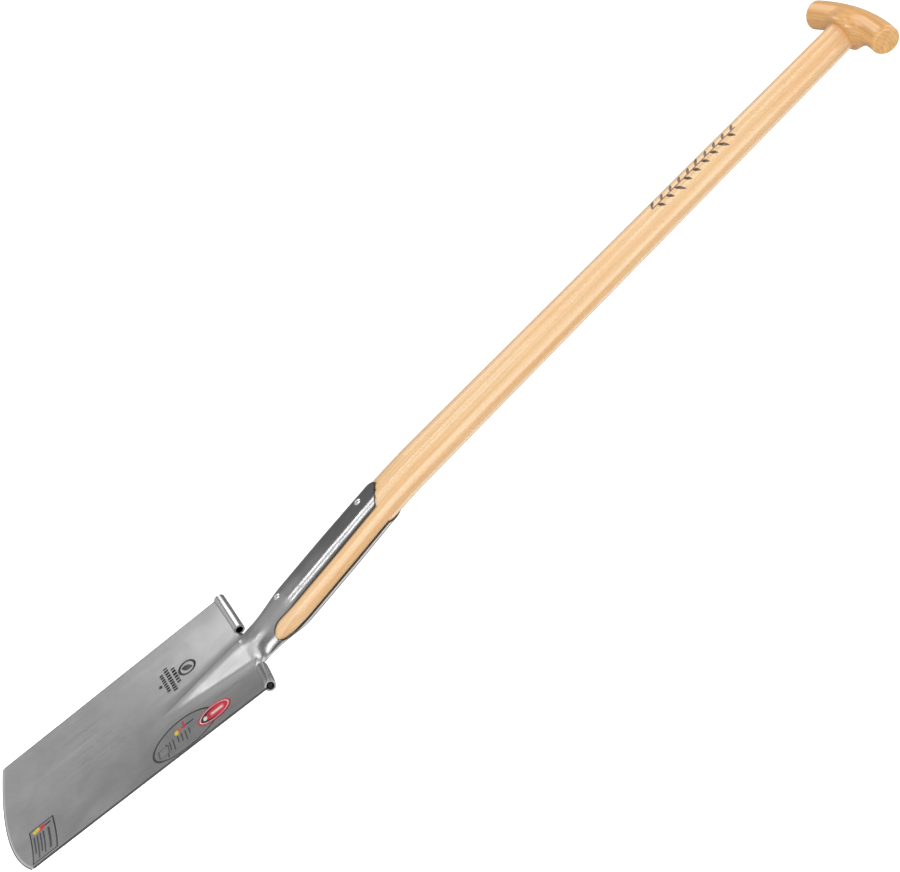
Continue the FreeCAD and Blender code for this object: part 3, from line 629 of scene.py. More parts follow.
@dataclass(frozen=True)
class SteelFinish:
    """Stainless steel: brushed, ground or polished.

    Attributes:
        name: the material's name.
        tone: its reflection's colour.
        roughness: how dull it is.
        brush: how deep the brushing shows, from 0 to 1.
        cloud: how much its tone and gloss wander, from 0 to 1.
        ripple: depth of its slow waves, in metres.
        pressed: marks pressed into it.
        polished_and_shaded_from: heights on the surface where its polish, and the painted shade laid on the
            polished part, start and are full, or None.
        polish: how much less dull it is where it is polished.
    """

    name: str
    tone: Colour
    roughness: float
    brush: float = 0.5
    cloud: float = 0.5
    ripple: float = 0.0
    pressed: tuple[Mark, ...] = ()
    polished_and_shaded_from: tuple[float, float] | None = None
    polish: float = 0.22

    def build(self) -> bpy.types.Material:
        """Return the material: long brush lines over slow clouds, with pressed marks, painted shade lines
        along the borders and the cutting edge, a painted highlight on the honed bevel, and painted shade on
        the polished part.
        """
        graph = Graph(self.name)
        chart, place = graph.chart(), graph.place()
        polish_and_shade = 0.0
        if self.polished_and_shaded_from:
            polish_and_shade = graph.spread(graph.parts(chart)[1], *self.polished_and_shaded_from, 0.0, 1.0)
        lines = graph.noise(graph.stretch(chart, FINE_BRUSH), 1.0, 3.0, 0.6)
        wide_lines = graph.noise(graph.stretch(chart, WIDE_BRUSH), 1.0, 3.0, 0.6)
        mixed = graph.plus(graph.spread(wide_lines, *NOISE_SPAN, -0.3, 0.3),
                           graph.spread(lines, *NOISE_SPAN, -0.2, 0.2))
        clouds = graph.noise(place, 26.0, 4.0, 0.6, 0.4)
        wander = graph.times(graph.plus(clouds, graph.noise(place, 9.0, 2.0, 0.5, 0.3)), 0.5)
        dark = tuple(value * (1 - 0.36 * self.cloud) for value in self.tone)
        bright = tuple(min(1.0, value * (1 + 0.26 * self.cloud)) for value in self.tone)
        share = graph.spread(wander, *CLOUD_SPAN, 0.0, 1.0)
        colour = graph.blend(graph.math("MULTIPLY_ADD", mixed, 0.55 * self.brush, share), dark, bright)
        # painted shade: darken the polished part, standing in for the dark surroundings that it reflects; the
        # lower roughness below is the real polish
        colour = graph.blend(graph.times(polish_and_shade, 0.35), colour, POLISHED_PAINTED_SHADE)
        rough = graph.math("MULTIPLY_ADD", mixed, 0.20 * self.brush, self.roughness)
        rough = graph.plus(rough, graph.spread(wander, *CLOUD_SPAN, 0.05 * self.cloud, -0.05 * self.cloud))
        rough = graph.math("MULTIPLY_ADD", polish_and_shade, -self.polish, rough, clamp=True)
        normal = graph.bump(lines, 0.00003, self.brush)
        normal = graph.bump(wide_lines, 0.00009, self.brush, normal)
        if self.ripple:
            normal = graph.bump(graph.noise(place, 22.0, 1.5, 0.5, 0.4), self.ripple, 1.0, normal)
        border, cutting, middle = graph.parts(graph.attribute("rim"))
        if self.pressed:
            in_front = graph.math("LESS_THAN", graph.parts(place)[1], middle)
            relief = graph.times(any_of(graph, self.pressed, *graph.in_mm()), in_front)
            # the pressed marks are darker, more in some places than in others
            patchy = graph.spread(clouds, 0.35, 0.6, 0.7, 1.0)
            colour = graph.blend(graph.times(relief, patchy), colour, PRESSED_DARK)
            normal = graph.bump(relief, -0.0008, 1.0, normal)
        # painted shade: darken a band along the plain borders, and all over the treads' insides
        colour = graph.blend(graph.beside(border, *BORDER_SHADE_BAND), colour, BORDER_PAINTED_SHADE)
        # partly the real ground bevel, partly a painted highlight: lighter colour and less metal along the
        # cutting edge
        honed_and_highlit = graph.beside(cutting, *HONED_HIGHLIGHT_BAND)
        colour = graph.blend(honed_and_highlit, colour, HONED_TONE_AND_HIGHLIGHT)
        # painted shade: a dark line right along the cutting edge
        colour = graph.blend(graph.beside(cutting, *EDGE_SHADE_BAND), colour, EDGE_PAINTED_SHADE)
        return graph.wear(Metallic=graph.math("MULTIPLY_ADD", honed_and_highlit, -0.6, 1.0), Base_Color=colour,
                          Roughness=rough, Normal=normal)


PITH_LEAN = 0.012  # how far the pith strays for each metre along the grain
RING_WARP = 0.011  # how far a ring wanders, in metres
# painted shadow: a thin dark line on the wood along the straps' edges, where they shade it
WOOD_SHADOW_BAND = (0.0006, 0.0015, 0.85)
WOOD_PAINTED_SHADOW: Colour = (0.10, 0.045, 0.015)
BURNT: Colour = (0.045, 0.013, 0.002)


@dataclass(frozen=True)
class AshFinish:
    """Ash wood under clear lacquer.

    Attributes:
        name: the material's name.
        pale: early wood.
        deep: late wood.
        blush: a warmer wash that comes and goes.
        pith: where the tree's middle lay, across the grain, in metres.
        ring_pitch: width of a year's growth, in metres.
        along: which axis of the straightened position the grain runs along.
        burnt: marks burnt into it, in millimetres around and along.
    """

    name: str
    pale: Colour
    deep: Colour
    blush: Colour
    pith: tuple[float, float]
    ring_pitch: float = 0.0042
    along: int = 2
    burnt: tuple[Mark, ...] = ()

    def drawn_out(self, graph: Graph, across: float, along: float, detail: float = 2.0,
                  rough: float = 0.5, twist: float = 0.0) -> Socket:
        """Return noise drawn out along the grain, from its blotches in a metre each way."""
        scale = [across] * 3
        scale[self.along] = along
        return graph.noise(graph.stretch(graph.attribute("grain"), scale), 1.0, detail, rough, twist)

    def late_wood(self, graph: Graph) -> Socket:
        """Return 0 in early wood and 1 in late: rings about the pith, each dark before its edge."""
        numbers = graph.parts(graph.attribute("grain"))
        axes = [axis for axis in range(3) if axis != self.along]
        first, second = (graph.minus(numbers[axis], pith) for axis, pith in zip(axes, self.pith))
        first = graph.plus(first, graph.times(numbers[self.along], PITH_LEAN))
        radius = graph.math("SQRT", graph.plus(graph.times(first, first), graph.times(second, second)))
        radius = graph.plus(radius, graph.times(self.drawn_out(graph, 22.0, 2.2, 3.0, twist=0.2), RING_WARP))
        year = graph.math("FRACT", graph.math("DIVIDE", radius, self.ring_pitch))
        return graph.times(graph.math("POWER", year, 2.4), graph.minus(1.0, graph.math("POWER", year, 16.0)))

    def build(self) -> bpy.types.Material:
        """Return the material: growth rings about a leaning pith, pores, a wash, a painted shadow along the
        straps' edges, and lacquer.
        """
        graph = Graph(self.name)
        late = self.late_wood(graph)
        pores = self.drawn_out(graph, 950.0, 16.0, rough=0.7)
        fibre = self.drawn_out(graph, 170.0, 3.0, 3.0, 0.55)
        wash = graph.spread(self.drawn_out(graph, 26.0, 5.0), 0.42, 0.72, 0.0, 0.55)
        tone = graph.plus(graph.times(late, 0.55), graph.spread(fibre, *NOISE_SPAN, 0.0, 0.5))
        colour = graph.blend(wash, graph.blend(tone, self.pale, self.deep), self.blush)
        pore_depth = graph.times(graph.spread(pores, 0.56, 0.74, 0.0, 1.0),
                                 graph.math("MULTIPLY_ADD", late, 0.35, 0.12))
        colour = graph.blend(pore_depth, colour, tuple(value * 0.45 for value in self.deep))
        # painted shadow: darken the wood in a thin band along the straps' edges
        border, _, _ = graph.parts(graph.attribute("rim"))
        colour = graph.blend(graph.beside(border, *WOOD_SHADOW_BAND), colour, WOOD_PAINTED_SHADOW)
        normal = graph.bump(pores, -0.00006, 0.35)
        if self.burnt:
            x, y, z = graph.parts(graph.attribute("grain"))
            around = graph.math("ARCTAN2", x, graph.times(y, -1.0))
            char = any_of(graph, self.burnt, graph.times(around, FORM.shaft_top_radius * MM_IN_METRE),
                          graph.times(z, MM_IN_METRE))
            colour = graph.blend(graph.times(char, 0.93), colour, BURNT)
            normal = graph.bump(char, -0.0003, 0.6, normal)
        return graph.wear(Base_Color=colour, Roughness=graph.spread(fibre, *NOISE_SPAN, 0.36, 0.46),
                          Normal=normal, Coat_Weight=0.75, Coat_Roughness=0.06)


@dataclass(frozen=True)
class FilmFinish:
    """A printed sticker: marks in order, each over the one before, under a glossy film.

    Attributes:
        name: the material's name.
        ground: the film's own colour.
        metal: how much steel shows through, from 0 to 1.
        printed: the marks, in millimetres from the sticker's middle.
    """

    name: str
    ground: Colour
    metal: float
    printed: tuple[Mark, ...]

    def build(self) -> bpy.types.Material:
        """Return the material: the ground, faintly mottled, then each mark's ink."""
        graph = Graph(self.name)
        x, y = graph.in_mm()
        mottle = graph.noise(graph.place(), 90.0, 2.0)
        colour = graph.blend(mottle, tuple(value * 0.9 for value in self.ground), self.ground)
        ink = 0.0
        for mark in self.printed:
            mask = mark.mask(graph, x, y)
            colour = graph.blend(mask, colour, mark.colour)
            ink = graph.math("MAXIMUM", mask, ink)
        return graph.wear(Base_Color=colour, Metallic=graph.times(graph.minus(1.0, ink), self.metal),
                          Roughness=graph.spread(mottle, *NOISE_SPAN, 0.26, 0.36), Specular_IOR_Level=0.25)


# ---- colours and finishes of this spade --------------------------------------------------------

INK: Colour = (0.03, 0.03, 0.035)
GREY_INK: Colour = (0.055, 0.058, 0.062)
RED_INK: Colour = (0.62, 0.03, 0.06)
PALE_INK: Colour = (0.75, 0.74, 0.72)
YELLOW_INK: Colour = (0.78, 0.55, 0.04)


def rows_of_bars(left: float, right: float, top: float, pitch: float, lengths: Sequence[float],
                 height: float = 1.5) -> tuple[Mark, ...]:
    """Return bars under each other, from a left edge; each length is a share of the widest."""
    marks = []
    for index, share in enumerate(lengths):
        half = (right - left) * share / 2
        marks.append(Mark(Shape.BAR, (left + half, top - index * pitch), (half, height / 2), GREY_INK))
    return tuple(marks)


PRESSED_LEAF = (
    Mark(Shape.RING, (-42.5, -62.5), (8.2, 9.4), line=2.4),
    Mark(Shape.LEAF, (-42.5, -62.5), (6.8, 3.6), turn=62.0),
    Mark(Shape.DASHES, (-43.0, -76.5), (12.0, 2.3), line=4.3),
    Mark(Shape.DASHES, (-42.5, -83.5), (18.5, 2.4), line=3.9),
    Mark(Shape.DASHES, (-42.5, -90.5), (14.5, 2.1), line=3.5),
    Mark(Shape.OVAL, (-42.5, -96.6), (2.0, 2.0)),
)

OVAL_PRINT = (
    Mark(Shape.RING, (0, 0), (32.2, 38.2), INK, line=2.2),
    *rows_of_bars(-9.0, 21.0, 6.0, 4.6, (0.45, 0.75, 0.62, 0.5)),
    *rows_of_bars(-9.0, 23.0, -13.5, 4.2, (0.8, 0.62, 0.97)),
    Mark(Shape.BAR, (-17.5, 6.0), (1.2, 8.0), INK),
    Mark(Shape.BAR, (-21.0, 2.5), (7.0, 1.1), RED_INK),
    Mark(Shape.BAR, (-16.5, -3.0), (2.4, 3.0), (0.55, 0.12, 0.05)),
    Mark(Shape.OVAL, (-15.0, -7.5), (4.6, 2.4), YELLOW_INK),
    Mark(Shape.BAR, (3.5, -26.0), (8.8, 6.4), GREY_INK),
    Mark(Shape.DASHES, (3.5, -26.0), (7.8, 5.2), (0.3, 0.31, 0.32), line=3.1),
)

BADGE_PRINT = (
    Mark(Shape.OVAL, (0, 0), (16.5, 20.0), RED_INK),
    Mark(Shape.RING, (0, 0), (13.8, 17.2), PALE_INK, line=0.9),
    Mark(Shape.OVAL, (0, -3.0), (11.6, 13.0), INK),
    Mark(Shape.OVAL, (0, 2.0), (9.8, 12.4), RED_INK),
    Mark(Shape.BAR, (0, 3.5), (4.0, 8.0), (0.75, 0.25, 0.25)),
    Mark(Shape.BAR, (0, 3.5), (1.6, 6.4), PALE_INK),
    Mark(Shape.OVAL, (0, -11.0), (4.6, 2.3), PALE_INK),
)

CORNER_PRINT = (
    Mark(Shape.BAR, (0, 0), (32.5, 15.0), INK),
    Mark(Shape.BAR, (0, 0), (30.9, 13.4), (0.24, 0.24, 0.24)),
    Mark(Shape.BAR, (-26.0, 5.5), (1.3, 5.2), INK),
    Mark(Shape.BAR, (-26.0, 0.0), (3.4, 3.4), RED_INK, turn=20.0),
    Mark(Shape.BAR, (-26.5, -6.5), (3.0, 4.0), YELLOW_INK, turn=20.0),
    *rows_of_bars(-19.0, 27.0, 7.0, 20.0, (0.92,), 2.8),
    *rows_of_bars(-19.0, 27.0, 0.6, 3.7, (0.95, 0.8, 1.0, 0.7), 1.9),
)


def leaf_sprig() -> tuple[Mark, ...]:
    """Return the mark burnt into the shaft: a stem with leaves to each side, in a row."""
    low, high, middle, count = -272.0, -152.0, 4.4, 19
    marks = [Mark(Shape.BAR, (middle, (low + high) / 2), (0.6, (high - low) / 2))]
    for index in range(count):
        side = 1 if index % 2 else -1
        height = low + (high - low) * (index + 0.5) / count
        size = 5.0 if index % 5 else 6.8
        marks.append(Mark(Shape.LEAF, (middle + side * size * 0.66, height), (size, 1.7), turn=side * 38.0))
    return tuple(marks)


class Finish(Enum):
    """Every finish on the spade: what wears it, and the record's slot that it belongs to."""

    BLADE = ("blade", "brushed_steel")
    STRAP = ("back strap", "brushed_steel")
    TREAD = ("tread", "polished_steel")
    WELD = ("weld", "weld_steel")
    RIVET = ("rivet", "rivet_steel")
    PIN = ("pin", "pin_steel")
    SHAFT = ("shaft", "ash_shaft")
    GRIP = ("grip", "ash_grip")
    OVAL = ("oval", "clear_film")
    BADGE = ("badge", "badge_print")
    CORNER = ("corner", "grey_film")

    @property
    def slot(self) -> str:
        """Return the record's slot name."""
        return self.value[1]


RECIPES = {
    Finish.BLADE: SteelFinish("satin_stainless", (0.56, 0.56, 0.56), 0.36, 0.7, 0.55, 0.0004, PRESSED_LEAF,
                              (0.0, 0.045)),
    Finish.STRAP: SteelFinish("satin_stainless_back", (0.56, 0.56, 0.56), 0.34, 0.7, 0.55, 0.0004, (),
                              (0.0, 0.045)),
    Finish.TREAD: SteelFinish("bright_rolled_stainless", (0.56, 0.56, 0.57), 0.22, 0.3, 0.3, 0.0002),
    Finish.WELD: SteelFinish("ground_weld", (0.50, 0.49, 0.48), 0.30, 0.3, 0.8, 0.0008),
    Finish.RIVET: SteelFinish("bright_rivet", (0.70, 0.70, 0.70), 0.20, 0.2, 0.3),
    Finish.PIN: SteelFinish("plain_pin", (0.5, 0.5, 0.5), 0.35, 0.2, 0.3),
    Finish.SHAFT: AshFinish("lacquered_ash_shaft", (1.0, 0.72, 0.42), (0.93, 0.51, 0.20), (0.98, 0.50, 0.19),
                            (0.030, 0.012), burnt=leaf_sprig()),
    Finish.GRIP: AshFinish("lacquered_ash_grip", (0.96, 0.58, 0.24), (0.68, 0.32, 0.08), (0.90, 0.42, 0.10),
                           (0.004, -0.022), ring_pitch=0.0036, along=0),
    Finish.OVAL: FilmFinish("printed_clear_film", (0.42, 0.42, 0.42), 0.75, OVAL_PRINT),
    Finish.BADGE: FilmFinish("printed_badge_film", (0.5, 0.04, 0.06), 0.0, BADGE_PRINT),
    Finish.CORNER: FilmFinish("printed_grey_film", (0.42, 0.42, 0.42), 0.3, CORNER_PRINT),
}


class Wardrobe:
    """Builds each finish once and hands it out."""

    def __init__(self) -> None:
        """Start with nothing built."""
        self.built: dict[Finish, bpy.types.Material] = {}

    def get(self, finish: Finish) -> bpy.types.Material:
        """Return a finish's material, building it the first time."""
        if finish not in self.built:
            self.built[finish] = RECIPES[finish].build()
        return self.built[finish]

    def put_on(self, piece: bpy.types.Object, finish: Finish, *nodes: str) -> None:
        """Give a piece its finish, and hide the CAD nodes it stands for."""
        piece.data.materials.append(self.get(finish))
        finish.slot
        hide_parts(*nodes)


# ---- sub-assemblies ----------------------------------------------------------------------------

@dataclass
class Blade:
    """The pressed front sheet: dished blade, raised cone, half of the neck, and front strap."""

    wardrobe: Wardrobe
    side_columns: int = 34
    middle_columns: int = 73
    blade_rows: int = 170
    neck_rows: int = 150
    bevel_part: float = 0.0032 / 0.3  # a bevel of 3.2 mm on a blade 300 mm long
    edge_thinness: float = 0.22
    edge_row: float = 0.0006
    row_crowding: float = 1.25
    even_part: float = 0.62
    softness: float = 0.00045

    def neck_point(self, side: Array, along: Array) -> Array:
        """Return the front shell: the cone's section carried up and eased into half a tube."""
        across = FORM.hump_half * side
        height = along * np.ones_like(side)
        foot = stack(across, FORM.blade_y(across, height), height)
        angle = side * FORM.opening_angle(along, from_back=False)
        tube = FORM.tube_point(angle, height, FORM.socket_radius(height) - FORM.sheet / 2)
        share = FORM.flare(height)[..., None]
        return foot * (1 - share) + tube * share

    def build(self) -> bpy.types.Object:
        """Build the sheet as one grid: full width below the treads, its middle columns above."""
        wide = FORM.blade_width / 2
        side = np.linspace(FORM.hump_half, wide, self.side_columns)[1:]
        middle = np.linspace(-FORM.hump_half, FORM.hump_half, self.middle_columns)
        top = np.concatenate([-side[::-1], middle, side])[None, :]
        part = np.linspace(0, 1, self.blade_rows)[:, None]
        part = np.concatenate([[[0.0], [self.bevel_part]], part[part[:, 0] > self.bevel_part]])
        narrow = FORM.edge_width / FORM.blade_width
        across = top * (narrow + (1 - narrow) * part)
        height = FORM.edge_height(top * narrow) * (1 - part)
        lower = stack(across, FORM.blade_y(across, height), height)
        share = np.broadcast_to(top / FORM.hump_half, (self.neck_rows, top.size)).clip(-1, 1)
        tip = FORM.front_tip - FORM.strap_point * point_drop(share)
        step = np.linspace(0, 1, self.neck_rows + 1)[1:, None] ** self.row_crowding
        along = (FORM.strap_split * np.minimum(step / self.even_part, 1) + (tip - FORM.strap_split)
                 * np.clip((step - self.even_part) / (1 - self.even_part), 0, 1))
        points = np.concatenate([lower, self.neck_point(share, along)])
        chart = np.concatenate([np.stack([across, height], -1),
                                np.stack([share * FORM.strap_radius, along], -1)])
        # the blade's sides and the strap's edges get a painted shade line; the cutting edge gets a painted
        # highlight and a painted shade line
        beside = np.minimum(FORM.half_width(height) - np.abs(across), RIM_REACH)
        rim = np.concatenate([rim_of(beside, height - FORM.edge_height(top * narrow)),
                              rim_of(strap_border(share, along, tip, from_back=False))])
        keep = np.ones((points.shape[0] - 1, points.shape[1] - 1), dtype=bool)
        blank = self.side_columns - 1
        keep[lower.shape[0] - 1:, :blank] = False
        keep[lower.shape[0] - 1:, -blank:] = False
        sheet = Lattice(FORM.from_blade(points), keep=keep, chart=chart, rim=rim)
        piece = make_piece("blade_and_front_strap", [sheet], closed=False)
        self.thin_the_edge(piece)
        soften(piece, self.softness)
        self.wardrobe.put_on(piece, Finish.BLADE, "blade")
        return piece

    def thin_the_edge(self, piece: bpy.types.Object) -> None:
        """Thicken the sheet, but leave the row of points on the cutting edge thin."""
        spots = np.empty(len(piece.data.vertices) * 3)
        piece.data.vertices.foreach_get("co", spots)
        points = (spots.reshape(-1, 3) - FORM.from_blade(np.zeros(3))) @ FORM.turn(-FORM.blade_lean)
        gap = points[:, 2] - FORM.edge_height(points[:, 0])
        thicken(piece, FORM.sheet, np.where(gap < self.edge_row, self.edge_thinness, 1.0))


@dataclass
class BackStrap:
    """The welded back shell: tongue, half of the neck, and back strap."""

    wardrobe: Wardrobe
    columns: int = 73
    rows: int = 190
    tongue_rise: float = 0.012
    tongue_end_rise: float = 0.0015
    lap_gap: float = 0.0001
    even_part: float = 0.72
    softness: float = 0.00045

    def tongue_half(self, height: Array) -> Array:
        """Return the tongue's half width, tapering down the blade."""
        return FORM.swell_half(np.minimum(1.0, 1 + height / FORM.tongue_length))

    def point(self, side: Array, along: Array) -> Array:
        """Return the back shell: a swelling tongue eased into the back half of the tube."""
        half = self.tongue_half(along) * np.ones_like(side)
        lap = FORM.blade_y(half, along) + FORM.sheet + self.lap_gap
        rise = self.tongue_end_rise + self.tongue_rise * np.minimum(1.0, 1 + along / FORM.tongue_length)
        foot = stack(half * side, lap + rise * bell(side), along)
        angle = math.pi - side * FORM.opening_angle(along, from_back=True)
        tube = FORM.tube_point(angle, along * np.ones_like(side), FORM.socket_radius(along) - FORM.sheet / 2)
        share = (FORM.flare(along) * np.ones_like(side))[..., None]
        return foot * (1 - share) + tube * share

    def build(self) -> bpy.types.Object:
        """Build the shell from the tongue's rounded foot to the strap's point."""
        side = np.linspace(-1, 1, self.columns)[None, :]
        tip = FORM.back_tip - FORM.strap_point * point_drop(side)
        step = np.linspace(0, 1, self.rows)[:, None]
        foot = -FORM.tongue_length * (1 - 0.05 * side ** 2)
        along = np.where(step < self.even_part, foot + (FORM.strap_split - foot) * step / self.even_part,
                         FORM.strap_split + (tip - FORM.strap_split) * (step - self.even_part)
                         / (1 - self.even_part))
        points = self.point(side * np.ones_like(along), along)
        chart = np.stack([side * FORM.strap_radius * np.ones_like(along), along], -1)
        # the finish paints a shade line along the strap's edges from this distance
        rim = rim_of(strap_border(side, along, tip, from_back=True))
        shell = Lattice(FORM.from_blade(points), chart=chart, rim=rim)
        piece = make_piece("back_strap_shell", [shell], closed=False)
        thicken(piece, FORM.sheet - self.lap_gap)
        soften(piece, self.softness)
        self.wardrobe.put_on(piece, Finish.STRAP, "back_strap")
        return piece


@dataclass
class Welds:
    """Beads of filler: up both sides of the neck, and around the tongue."""

    wardrobe: Wardrobe
    blade: Blade
    strap: BackStrap
    radius: float = 0.0011
    beat: float = 0.0026
    inset: float = 0.002
    proud: float = 0.0002
    clear: float = 0.0008
    lift: float = 0.0016
    tongue_top: float = -0.004
    sides: int = 14

    def bead(self, route: Array) -> Array:
        """Return rings along a route, swelling a little at each deposit of filler."""
        ahead = np.gradient(route, axis=0)
        length = run_length(route)
        ahead /= np.linalg.norm(ahead, axis=1, keepdims=True)
        side = np.cross(ahead, np.array([0.0, 1.0, 0.0]))
        side /= np.linalg.norm(side, axis=1, keepdims=True)
        out = np.cross(side, ahead)
        ends = np.sqrt(np.clip(np.minimum(length, length[-1] - length) / self.radius, 0.05, 1))
        swell = (1 + 0.10 * np.abs(np.sin(np.pi * length / self.beat))) * ends * self.radius
        angle = circle(self.sides)[..., None]
        ring = np.cos(angle) * side[:, None] + np.sin(angle) * out[:, None]
        return close_ends(route[:, None] + swell[:, None, None] * ring)

    def build(self) -> list[bpy.types.Object]:
        """Build the neck's two beads and the tongue's three."""
        along = np.linspace(self.inset, FORM.opening_foot - self.inset, 70)[:, None]
        seams = []
        for side in (-1.0, 1.0):
            edge = np.full_like(along, side)
            route = (self.blade.neck_point(edge, along) + self.strap.point(edge, along))[:, 0] / 2
            seams.append(route + np.array([side * self.proud, 0, 0]))
        height = np.linspace(self.tongue_top, -FORM.tongue_length, 90)
        half = self.strap.tongue_half(height) + self.clear
        low = np.array(-FORM.tongue_length)
        across = np.linspace(-1, 1, 30) * self.strap.tongue_half(low)
        routes = [(-half, height), (half, height), (across, low - self.clear)]
        around = [stack(wide, FORM.blade_y(wide, level) + self.lift, level) for wide, level in routes]
        pieces = []
        for name, node, beads in (("neck_seam_beads", "neck_welds", seams),
                                  ("tongue_bead", "tongue_weld", around)):
            rings = [self.bead(FORM.from_blade(route)) for route in beads]
            piece = make_piece(name, [Lattice(points, wrap=True) for points in rings])
            self.wardrobe.put_on(piece, Finish.WELD, node)
            pieces.append(piece)
        return pieces


@dataclass
class Treads:
    """Two slit tubes rolled over the blade's top edge, either side of the neck."""

    wardrobe: Wardrobe
    outside: float = 0.0061
    wall: float = 0.0022
    inner_end: float = 0.040
    rise: float = 0.0046
    slit: float = 0.00115
    softness: float = 0.0003
    rows: int = 40
    arc_points: int = 44

    def profile(self) -> Array:
        """Return the C-shaped section: an outer arc one way, then the inner arc back."""
        arcs = []
        for radius, way in ((self.outside, 1), (self.outside - self.wall, -1)):
            gap = math.asin(self.slit / radius)
            angle = np.linspace(-np.pi / 2 + gap, 1.5 * np.pi - gap, self.arc_points)[::way]
            arcs.append(np.stack([radius * np.cos(angle), radius * np.sin(angle)], -1))
        return np.concatenate(arcs)

    def build(self) -> list[bpy.types.Object]:
        """Carry the section around the dish's arc, and close both ends with flat faces."""
        half = FORM.blade_width / 2
        bend = (half ** 2 + FORM.dish_top ** 2) / (2 * FORM.dish_top)
        section = self.profile()
        pieces = []
        for name, side in (("left_tread", -1.0), ("right_tread", 1.0)):
            swing = side * np.linspace(math.asin(self.inner_end / bend), math.asin(half / bend), self.rows)
            swing, (reach, up) = swing[:, None], section.T[:, None]
            reach = bend + reach
            arc = stack(reach * np.sin(swing), reach * np.cos(swing) - bend, self.rise + up)
            points = FORM.from_blade(arc)
            chart = np.stack(np.broadcast_arrays(up, bend * swing), -1)
            rim = np.full((*points.shape[:2], 2), RIM_REACH)
            rim[:, self.arc_points:, 0] = 0.0
            piece = make_piece(name + "_tube", [Lattice(points, wrap=True, chart=chart, rim=rim),
                                               *self.caps(points, rim)])
            soften(piece, self.softness)
            self.wardrobe.put_on(piece, Finish.TREAD, name)
            pieces.append(piece)
        return pieces

    def caps(self, points: Array, rim: Array) -> list[Lattice]:
        """Return both flat ends, each a strip between the outer arc and the inner one."""
        half = points.shape[1] // 2
        return [Lattice(np.stack([points[end, :half], points[end, half:][::-1]]),
                        rim=np.stack([rim[end, :half], rim[end, half:][::-1]])) for end in (0, -1)]


@dataclass
class Shaft:
    """The ash shaft: straight from the grip, one bend, and a point inside the socket."""

    wardrobe: Wardrobe
    sides: int = 96
    seat: float = 0.0011
    skin: float = 0.0011
    clear: float = 0.0001
    tip_depth: float = 0.066
    wood_at_treads: tuple[float, float, float] = (-0.0020, 0.0160, 0.0110)
    wood_at_tip: tuple[float, float, float] = (-0.0012, 0.0038, 0.0038)

    def rings(self) -> tuple[Array, Array]:
        """Return the shaft's rings and their straightened positions.

        The centre line is a straight run, an arc that turns by the socket's lean, a straight run,
        and a curve that eases into the blade's plane. The radius tapers straight down to the grip,
        and follows the socket's inside below the bend.
        """
        angle = circle(self.sides)
        unit = stack(np.sin(angle), -np.cos(angle), np.zeros_like(angle))
        tangent = FORM.bend_length / 2
        bend_top = -FORM.bend_depth + tangent
        centres, halves, turns = [], [], []
        for height in np.linspace(self.seat, bend_top, 60):
            part = (height - self.seat) / (bend_top - self.seat)
            radius = FORM.shaft_top_radius + (FORM.shaft_radius - FORM.shaft_top_radius) * part
            centres.append(np.array([0, 0, height]))
            halves.append((radius, radius, radius))
            turns.append(0.0)
        bend = tangent / math.tan(math.radians(FORM.socket_lean) / 2)
        for part in np.linspace(0, 1, 14)[1:]:
            swing = math.radians(FORM.socket_lean) * part
            centres.append(np.array([0, bend * (1 - math.cos(swing)), bend_top - bend * math.sin(swing)]))
            halves.append((FORM.shaft_radius,) * 3)
            turns.append(FORM.socket_lean * part)
        start = FORM.socket_length - tangent
        for along in np.linspace(start, FORM.neck_height, 70)[1:]:
            radius = float(FORM.socket_radius(along)) - FORM.sheet - self.clear
            radius += 2 * self.clear * float(ease(along, start - 0.015, start))
            back = (radius + self.skin) * float(FORM.back_depth(along)) - self.skin
            centres.append(FORM.from_socket(np.array([0, 0, along])))
            halves.append((radius, radius, back))
            turns.append(FORM.socket_lean)
        for part in np.linspace(0, 1, 16):
            middle, across, deep = ((1 - part) * np.array(self.wood_at_treads)
                                    + part * np.array(self.wood_at_tip))
            centres.append(FORM.from_blade(np.array([0, middle, -self.tip_depth * part])))
            halves.append((across, deep, deep))
            turns.append(-FORM.blade_lean)
        centre = np.array(centres)[:, None]
        half = np.array(halves)
        deep = np.where(unit[..., 1] > 0, half[:, 2:], half[:, 1:2])
        flat = unit * stack(half[:, :1], deep, np.ones_like(deep))
        swing = np.radians(np.array(turns))[:, None]
        points = centre + stack(flat[..., 0], flat[..., 1] * np.cos(swing), flat[..., 1] * np.sin(swing))
        straight = flat.copy()
        straight[..., 2] = self.seat - run_length(centre[:, 0])[:, None]
        return points, straight

    def bare_reach(self, points: Array) -> Array:
        """Return how far each point lies outside both straps; below 0 where a strap covers it."""
        local = (points - FORM.socket_foot()) @ FORM.turn(FORM.socket_lean)
        along = local[..., 2]
        angle = np.arctan2(np.abs(local[..., 0]), -local[..., 1])
        radius = FORM.socket_radius(along)
        reach = []
        for turned, tip, from_back in ((angle, FORM.front_tip, False), (np.pi - angle, FORM.back_tip, True)):
            edge = FORM.opening_angle(along, from_back)
            end = tip - FORM.strap_point * point_drop(np.clip(turned / edge, 0, 1))
            reach.append(np.maximum((turned - edge) * radius, 0.75 * (along - end)))
        return np.minimum(*reach)

    def build(self) -> bpy.types.Object:
        """Build the shaft as one closed tube."""
        points, straight = self.rings()
        points, straight = close_ends(points), close_ends(straight)
        # distance from the straps' edges, along which the finish paints a thin shadow on the wood
        rim = rim_of(np.abs(self.bare_reach(points)))
        piece = make_piece("ash_shaft", [Lattice(points, wrap=True, grain=straight, rim=rim)])
        self.wardrobe.put_on(piece, Finish.SHAFT, "shaft")
        return piece


